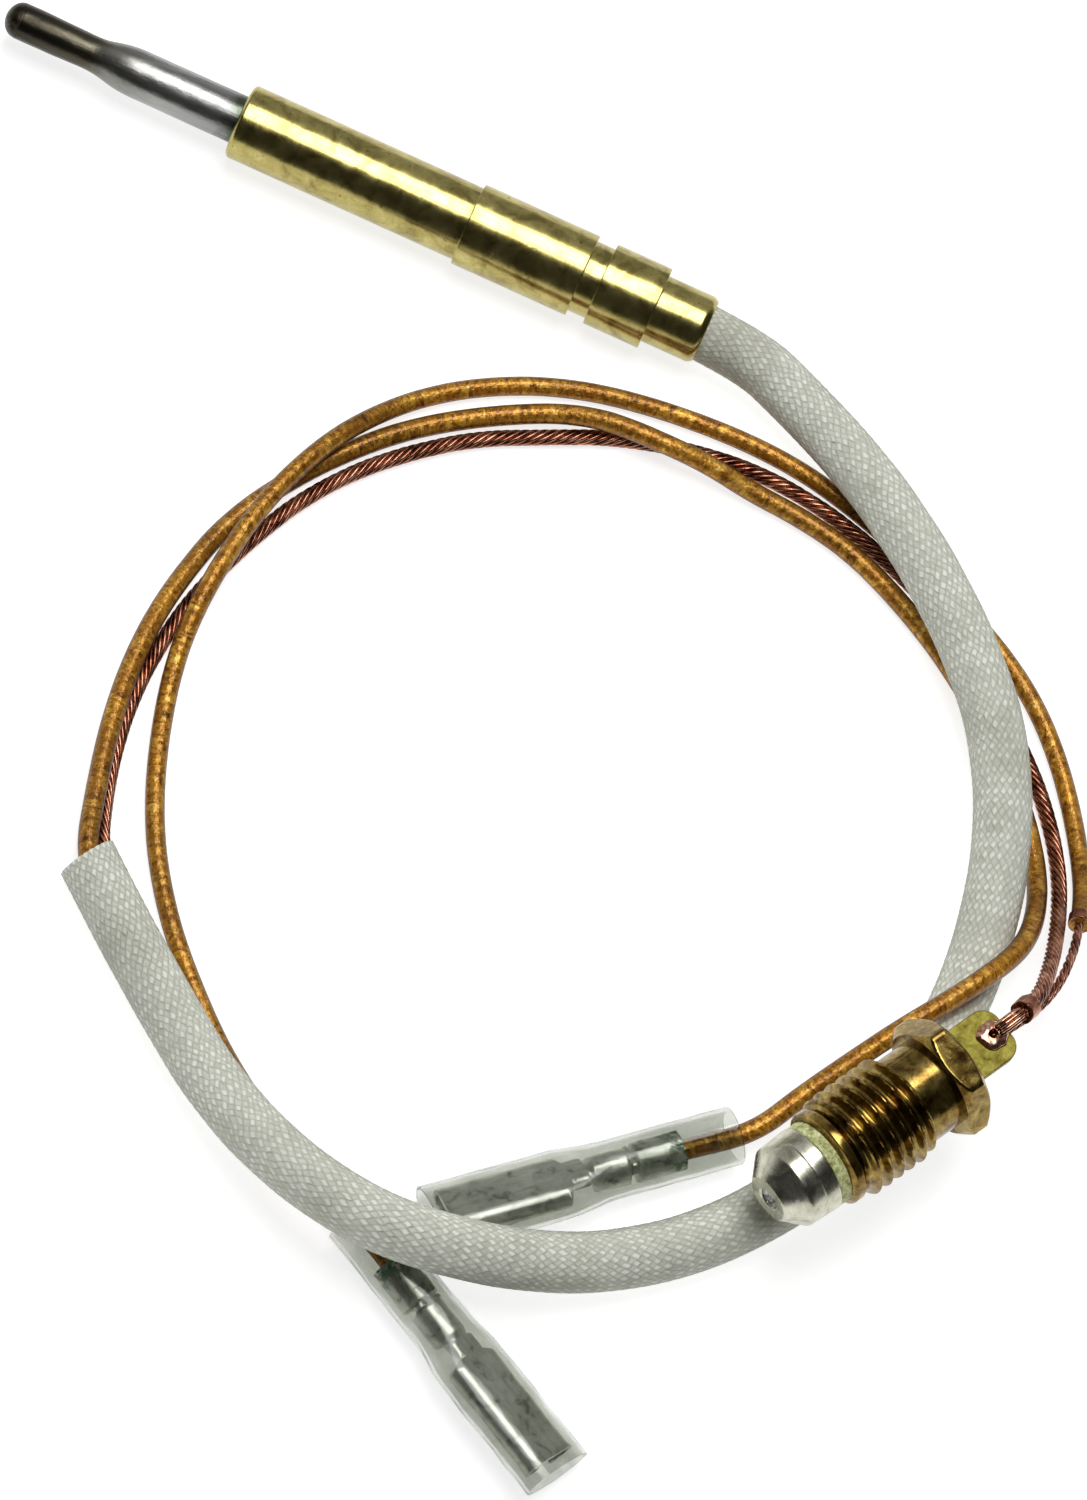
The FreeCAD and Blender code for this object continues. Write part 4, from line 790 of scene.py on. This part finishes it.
A_FREE = [
    (0.00374, -0.0569, 0.00235), (0.0024, -0.0517, 0.0019), (0.0014, -0.0472, 0.00175),
    (0.0008, -0.0425, 0.00155), (0.00075, -0.0379, 0.0013), (0.0013, -0.0334, 0.0009),
    (0.0024, -0.0287, 0.00075), (0.0046, -0.0242, 0.00075), (0.0076, -0.0198, 0.00075),
    (0.0112, -0.0158, 0.00075), (0.0154, -0.0126, 0.0008), (0.0198, -0.0102, 0.0012),
    (0.0229, -0.0094, 0.0019), (0.0258, -0.0092, 0.0022), (0.0289, -0.00915, 0.0022),
    (0.032, -0.009, 0.0017), (0.0352, -0.00915, 0.0009), (0.0391, -0.0093, 0.00075),
    (0.0434, -0.0101, 0.00075), (0.0478, -0.012, 0.00075), (0.0522, -0.0145, 0.00075),
    (0.0564, -0.0177, 0.00075), (0.0602, -0.0211, 0.00075), (0.0631, -0.0248, 0.0008),
    (0.0649, -0.0283, 0.0014), (0.0656, -0.0318, 0.0028), (0.0653, -0.0349, 0.0044),
    (0.0641, -0.0378, 0.0055), (0.0621, -0.0411, 0.0055), (0.0599, -0.0442, 0.0051),
    (0.0577, -0.0475, 0.004), (0.0554, -0.0511, 0.0029)]
A_END = [(0.05334, -0.05494, 0.00227), (0.05004, -0.05754, 0.00215), (0.04639, -0.06082, 0.00215),
         (0.04446, -0.06255, 0.00215)]
B_START = [(0.01375, -0.0015, 0.0031), (0.01865, -0.0015, 0.0031)]
B_FREE = [
    (0.00455, -0.05595, 0.0018), (0.00305, -0.0512, 0.0007), (0.00215, -0.047, 0.0006),
    (0.00175, -0.0429, 0.0006), (0.00195, -0.0388, 0.0006), (0.00255, -0.035, 0.0006),
    (0.0036, -0.0313, 0.0006), (0.0049, -0.0278, 0.0006), (0.0065, -0.0243, 0.0006),
    (0.009, -0.0206, 0.0006), (0.0122, -0.0172, 0.0006), (0.016, -0.0141, 0.0006),
    (0.0203, -0.0118, 0.0006), (0.024, -0.0099, 0.0006), (0.0274, -0.0087, 0.0006),
    (0.031, -0.0078, 0.0006), (0.0348, -0.0074, 0.0006), (0.0387, -0.0076, 0.0006),
    (0.0427, -0.0084, 0.0006), (0.0476, -0.0101, 0.0006), (0.0522, -0.0124, 0.0006),
    (0.0565, -0.0154, 0.0006), (0.06, -0.0186, 0.0006), (0.0625, -0.0212, 0.0006),
    (0.0645, -0.0239, 0.00065), (0.0661, -0.027, 0.0011), (0.067, -0.0305, 0.0026),
    (0.0674, -0.0344, 0.0053), (0.0674, -0.0379, 0.0082), (0.0672, -0.0405, 0.0103),
    (0.0664, -0.04263, 0.01155)]
C_START = [(0.03976, -0.07769, 0.00236), (0.03748, -0.07644, 0.00236), (0.03318, -0.07408, 0.00236)]
C_FREE = [
    (0.0273, -0.0708, 0.0016), (0.0226, -0.0684, 0.00095), (0.0183, -0.0654, 0.0007),
    (0.0149, -0.0623, 0.0007), (0.0112, -0.0584, 0.0007), (0.008, -0.0538, 0.0007),
    (0.0058, -0.049, 0.0007), (0.0042, -0.0438, 0.00075), (0.0033, -0.0392, 0.0012),
    (0.0032, -0.0355, 0.0021), (0.0035, -0.0316, 0.0025), (0.0041, -0.0276, 0.0026),
    (0.0052, -0.0235, 0.0026), (0.0068, -0.0196, 0.0023), (0.0086, -0.0163, 0.0014),
    (0.0109, -0.0133, 0.0008), (0.014, -0.0107, 0.0007), (0.018, -0.0084, 0.0007),
    (0.0225, -0.0068, 0.0007), (0.0276, -0.0059, 0.0007), (0.033, -0.0055, 0.0007),
    (0.0379, -0.0058, 0.0007), (0.0423, -0.0068, 0.0007), (0.0477, -0.0086, 0.0007),
    (0.0527, -0.0107, 0.0007), (0.0565, -0.0127, 0.0007), (0.0599, -0.0152, 0.0007),
    (0.0628, -0.0183, 0.0007), (0.0653, -0.0219, 0.00075), (0.0672, -0.0255, 0.0012),
    (0.0682, -0.0286, 0.0024), (0.0685, -0.0309, 0.0035)]
C_CORE = [(0.0687, -0.0334, 0.0048), (0.0686, -0.0365, 0.0061), (0.068, -0.0391, 0.0071),
          (0.067, -0.0414, 0.0081), (0.06611, -0.04316, 0.009), (0.06476, -0.04555, 0.0091)]


def beside(points, offset):
    """The same route moved sideways in the plane, to the left of its way for a positive offset."""
    moved = []
    for index, point in enumerate(points):
        ahead = Vector(points[min(index + 1, len(points) - 1)]) - Vector(points[max(index - 1, 0)])
        left = Vector((-ahead.y, ahead.x, 0)).normalized()
        moved.append(tuple(Vector(point) + left * offset))
    return moved


def long_way(line):
    """A line's length, in metres."""
    return float(np.linalg.norm(np.diff(line, axis=0), axis=1).sum())


def braid_height(turns, run):
    """How far the top strand stands out, from 0 to 1, at strands round and braid pitches along."""
    one, two = turns + run, turns - run
    even_cell = (np.floor(one) + np.floor(two)) % 2 == 0
    one, two = 1 - np.abs(2 * (one - np.floor(one)) - 1) ** 2, 1 - np.abs(2 * (two - np.floor(two)) - 1) ** 2
    across, length = np.where(even_cell, one, two), np.where(even_cell, two, one)
    return np.sqrt(across) * (0.5 + 0.5 * length)


def braided_sleeve():
    """The braided sleeve's outside, its cut edge and the first of its inside."""
    dense = route(SLEEVE)
    line, distance = evenly(dense, 0.205)
    count = 128
    angle = around(count)
    height = braid_height(BRAID_STRANDS * angle[None, :] / TURN, distance[:, None] / BRAID_PITCH)
    uneven = ripple(distance[:, None], 2 * angle[None, :], 81, 7.0)
    outer = 2.13 - 0.07 * (1 - height) - 0.04 * (0.5 + 0.5 * uneven)
    near_end = np.clip((distance - distance[-1] + 3.0) / 3.0, 0, 1)[:, None]
    shift = near_end * 0.35 * np.cos(angle + 0.6)[None, :]
    outside = tube_rows(line, outer, count, shift)
    inside = tube_rows(line[-30:], 1.72, count, shift[-30:])[::-3]
    rim = (outside[-1:] + inside[:1]) / 2 + 0.06 * (line[-1] - line[-3]) / np.linalg.norm(line[-1] - line[-3])
    rows = np.concatenate([outside, rim, inside])
    along = np.concatenate([distance, [distance[-1] + 0.2], distance[-30:][::-3]])
    return grid("braid", rows, np.linspace(0, 1, count + 1), along, BRAID, sharp=80.0), dense


def lead(name, points, radius, seed):
    """A varnished lead: a tube with a faint braid under the lacquer."""
    dense = route(points)
    line, distance = evenly(dense, 0.3)
    count = 24
    angle = around(count)
    weave = braid_height(8 * angle[None, :] / TURN, distance[:, None] / 1.1)
    uneven = ripple(distance[:, None], angle[None, :], seed, 3.0)
    size = radius * (1 - 0.01 * (1 - weave) - 0.02 * (0.5 + 0.5 * uneven))
    rows = tube_rows(line, size, count)
    across = np.linspace(0, 1, count + 1)
    return grid(name, rows, across, distance, LEAD_PAINT, ends=(True, True), sharp=80.0), dense


braid, braid_line = braided_sleeve()
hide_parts("braided_sleeve")
long_way(braid_line)

lead_a, line_a = lead("lead_a", A_START + beside(SLEEVE, 0.00065)[:-1] + A_FREE + A_END, 0.75, 90)
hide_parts("lead_a_insulation", "lead_a_conductor")
long_way(line_a)

STRANDS, STRAND_CENTRE, STRAND_RADIUS, STRAND_PITCH = 8, 0.43, 0.166, 5.6
line_b = route(B_START + beside(SLEEVE, -0.0009)[:-1] + B_FREE)
points_b, distance_b = evenly(line_b, 0.3)
core_b = (tube_rows(points_b, 0.36, 8), np.linspace(0, 1, 9), distance_b, True, (True, True))
strands_b = strand_parts(points_b, distance_b, STRANDS, STRAND_CENTRE, STRAND_RADIUS, STRAND_PITCH)
lead_b = grids("lead_b", strands_b + [core_b], COPPER, sharp=80.0)
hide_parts("lead_b_return")

lead_c, line_c = lead("lead_c", C_START + C_FREE, 0.7, 95)
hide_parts("lead_c_insulation", "lead_c_conductor")
core_line = route([C_FREE[-2], C_FREE[-1]] + C_CORE)
points_core, distance_core = evenly(core_line, 0.2)
strands_core = strand_parts(points_core, distance_core, 4, 0.19, 0.17, 3.2)
lead_c_core = grids("lead_c_core", strands_core, COPPER, sharp=80.0)


def band(name, middle, ahead, length, radius, bore, seed):
    """A short crimped copper band round a cord."""
    ahead = Vector(ahead).normalized()
    place = Matrix.Translation(Vector(middle)) @ ahead.to_track_quat("X", "Z").to_matrix().to_4x4()
    corners = [(-length / 2, bore, 0), (-length / 2, radius, 0.06), (length / 2, radius, 0.06),
               (length / 2, bore, 0), (-length / 2, bore, 0)]
    return lathe(name, corners, COPPER, place, 48, step=0.1,
                 relief=lambda x, a: 0.05 * ripple(np.cos(a) * 1.5, np.sin(a) * 1.5 + x * 0.4, seed, 1.3) - 0.02)


end_b = Vector(B_FREE[-1])
back_b = (Vector(B_FREE[-2]) - end_b).normalized()
band_b = band("lead_b_band", end_b + back_b * 0.75 * MM, -back_b, 1.3, 0.88, 0.62, 101)
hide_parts("lead_b_crimp_band")
end_c = Vector(C_FREE[-1])
back_c = (Vector(C_FREE[-2]) - end_c).normalized()
band_c = band("lead_c_band", end_c + back_c * 0.45 * MM, -back_c, 0.9, 0.84, 0.7, 102)
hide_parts("lead_c_end_band")


def tail_shape():
    """The return lead's bare strands, bent down through the tab's hole."""
    parts = []
    chance = np.random.default_rng(111)
    start = np.array(CONNECTOR.inverted() @ end_b) / MM
    back = np.array(CONNECTOR.to_3x3().inverted() @ back_b)
    for number in range(9):
        turn = TURN * number / 8
        ring = 0.0 if number == 8 else 0.36
        off = np.array([0, ring * math.cos(turn), ring * math.sin(turn)])
        points = [start + back * 0.9 + off, start + off * 1.05, np.array([21.0, 0, 2.42]) + off * 1.1,
                  np.array([20.2, 0, 2.2]) + off * 1.15 + chance.normal(0, 0.03, 3),
                  np.array([19.75, 0, 1.75]) + np.array([off[2] * 0.8, off[1] * 1.0, 0]),
                  np.array([19.65, 0, 0.95]) + np.array([off[2] * 0.9, off[1] * 1.0, 0])]
        dense = route([tuple(point * MM) for point in points])
        line, distance = evenly(dense, 0.15)
        parts.append((tube_rows(line, 0.155, 8), np.linspace(0, 1, 9) + number, distance, True, (True, True)))
    return grids("tail_strands", parts, BRIGHT_COPPER, CONNECTOR, 80.0)


def tin_puddle():
    """The tin round the tail's strands, on the tab."""
    angle = around(56)
    radius = np.linspace(0.35, 1.08, 12)
    bulge = 0.42 * np.sqrt(np.clip(1 - ((radius - 0.3) / 0.8) ** 2, 0, 1))
    wave = 1 + 0.16 * ripple(np.cos(angle) * 2, np.sin(angle) * 2, 121, 2.2)
    x = TAB_HOLE_AT + radius[:, None] * np.cos(angle) * wave
    y = radius[:, None] * np.sin(angle) * wave
    z = TAB_HIGH - 0.02 + bulge[:, None] * (1 + 0.1 * ripple(x, y, 122, 1.0))
    under = np.stack([x[::-1], y[::-1], np.full_like(x, TAB_HIGH - 0.05)], -1)
    rows = np.concatenate([np.stack([x, y, z], -1), under[:1], under[-1:]])
    along = np.concatenate([radius, [1.1, 0.3]])
    return grid("tab_tin", rows, np.linspace(0, 4, 57), along, BRIGHT_COPPER, CONNECTOR)


tail = tail_shape()
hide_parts("return_lead_tail")
tin = tin_puddle()

# ---------------------------------------------------------------- kept CAD pieces
KEPT = {"constantan_core": CORE_METAL, "core_insulator": CERAMIC, "core_ferrule": TIN, "ferrule_insulation": FIBRE,
        "return_lead_braze": SOLDER, "stem_insulator": FIBRE, "contact_pin": CORE_METAL, "rear_bush": FIBRE,
        "pin_splice": TIN}
for name, material in KEPT.items():
    nodes[name].data.materials.clear()
    nodes[name].data.materials.append(material)

long_way(line_b)
long_way(line_c)

for piece, owner in ((nut, "nut"), (sleeves[1], "sleeve_1"), (sleeves[2], "sleeve_2")):
    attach(piece, owner)
for piece in (cap, sheath, body, cone, solder, washer, stem, tab, braid, lead_a, lead_b, lead_c, lead_c_core,
              band_b, band_c, tail, tin, receptacles[1], receptacles[2]):
    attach(piece, "root")


# ---------------------------------------------------------------- camera, floor and light
def camera():
    """Looks down from the -Y side at 65 degrees, rolled so that the probe points to the upper left."""
    elevation = math.radians(65.0)
    roll = math.radians(24.4)
    target = Vector((0.02934, -0.03404, 0.0))
    distance = 0.5
    data = bpy.data.cameras.new("camera")
    data.sensor_fit = "VERTICAL"
    data.sensor_height = 36.0
    data.lens = 171.1
    data.clip_start = 0.01
    eye = bpy.data.objects.new("camera", data)
    eye.location = target + Vector((0, -math.cos(elevation), math.sin(elevation))) * distance
    eye.rotation_euler = (Matrix.Rotation(math.pi / 2 - elevation, 3, "X")
                          @ Matrix.Rotation(roll, 3, "Z")).to_euler()
    bpy.context.scene.collection.objects.link(eye)
    bpy.context.scene.camera = eye


def floor():
    """A white ground that glows a little, so that shadows on it are faint."""
    mesh = bpy.data.meshes.new("floor")
    half = 1.5
    mesh.from_pydata([(-half, -half, 0), (half, -half, 0), (half, half, 0), (-half, half, 0)], [], [(0, 1, 2, 3)])
    ground = bpy.data.objects.new("floor", mesh)
    bpy.context.scene.collection.objects.link(ground)
    paint = Paint("floor_paint", (0.5, 0.5, 0.5), 0.0, 0.9, Emission_Color=(1.0, 1.0, 1.0),
                  Emission_Strength=0.78)
    mesh.materials.append(paint.material)


def lamp(name, place, aim, size, power):
    """A rectangular panel of light at place, aimed at a point."""
    data = bpy.data.lights.new(name, "AREA")
    data.shape = "RECTANGLE"
    data.size, data.size_y = size
    data.energy = power
    light = bpy.data.objects.new(name, data)
    light.location = place
    light.rotation_euler = (Vector(aim) - Vector(place)).to_track_quat("-Z", "Y").to_euler()
    bpy.context.scene.collection.objects.link(light)


def lights():
    """A soft panel overhead; a room that is dark in front and to the right and grey behind on the left."""
    lamp("overhead", (0.005, 0.081, 0.6), (0.005, 0.0811, 0.0), (0.25, 0.45), 2.7)
    world = bpy.data.worlds.new("studio")
    world.use_nodes = True
    tree = world.node_tree
    place = tree.nodes.new("ShaderNodeTexCoord")
    facing = tree.nodes.new("ShaderNodeVectorMath")
    facing.operation = "DOT_PRODUCT"
    facing.inputs[1].default_value = (-0.5, 0.85, 0.0)
    band = tree.nodes.new("ShaderNodeValToRGB")
    tree.links.new(place.outputs["Generated"], facing.inputs[0])
    tree.links.new(facing.outputs["Value"], band.inputs["Fac"])
    elements = band.color_ramp.elements
    elements[0].position, elements[0].color = 0.15, (0.05, 0.05, 0.05, 1)
    elements[1].position, elements[1].color = 0.4, (0.42, 0.42, 0.42, 1)
    tree.links.new(band.outputs["Color"], tree.nodes["Background"].inputs["Color"])
    tree.nodes["Background"].inputs["Strength"].default_value = 1.0
    bpy.context.scene.world = world


camera()
floor()
lights()
bpy.context.scene.view_settings.view_transform = "Standard"
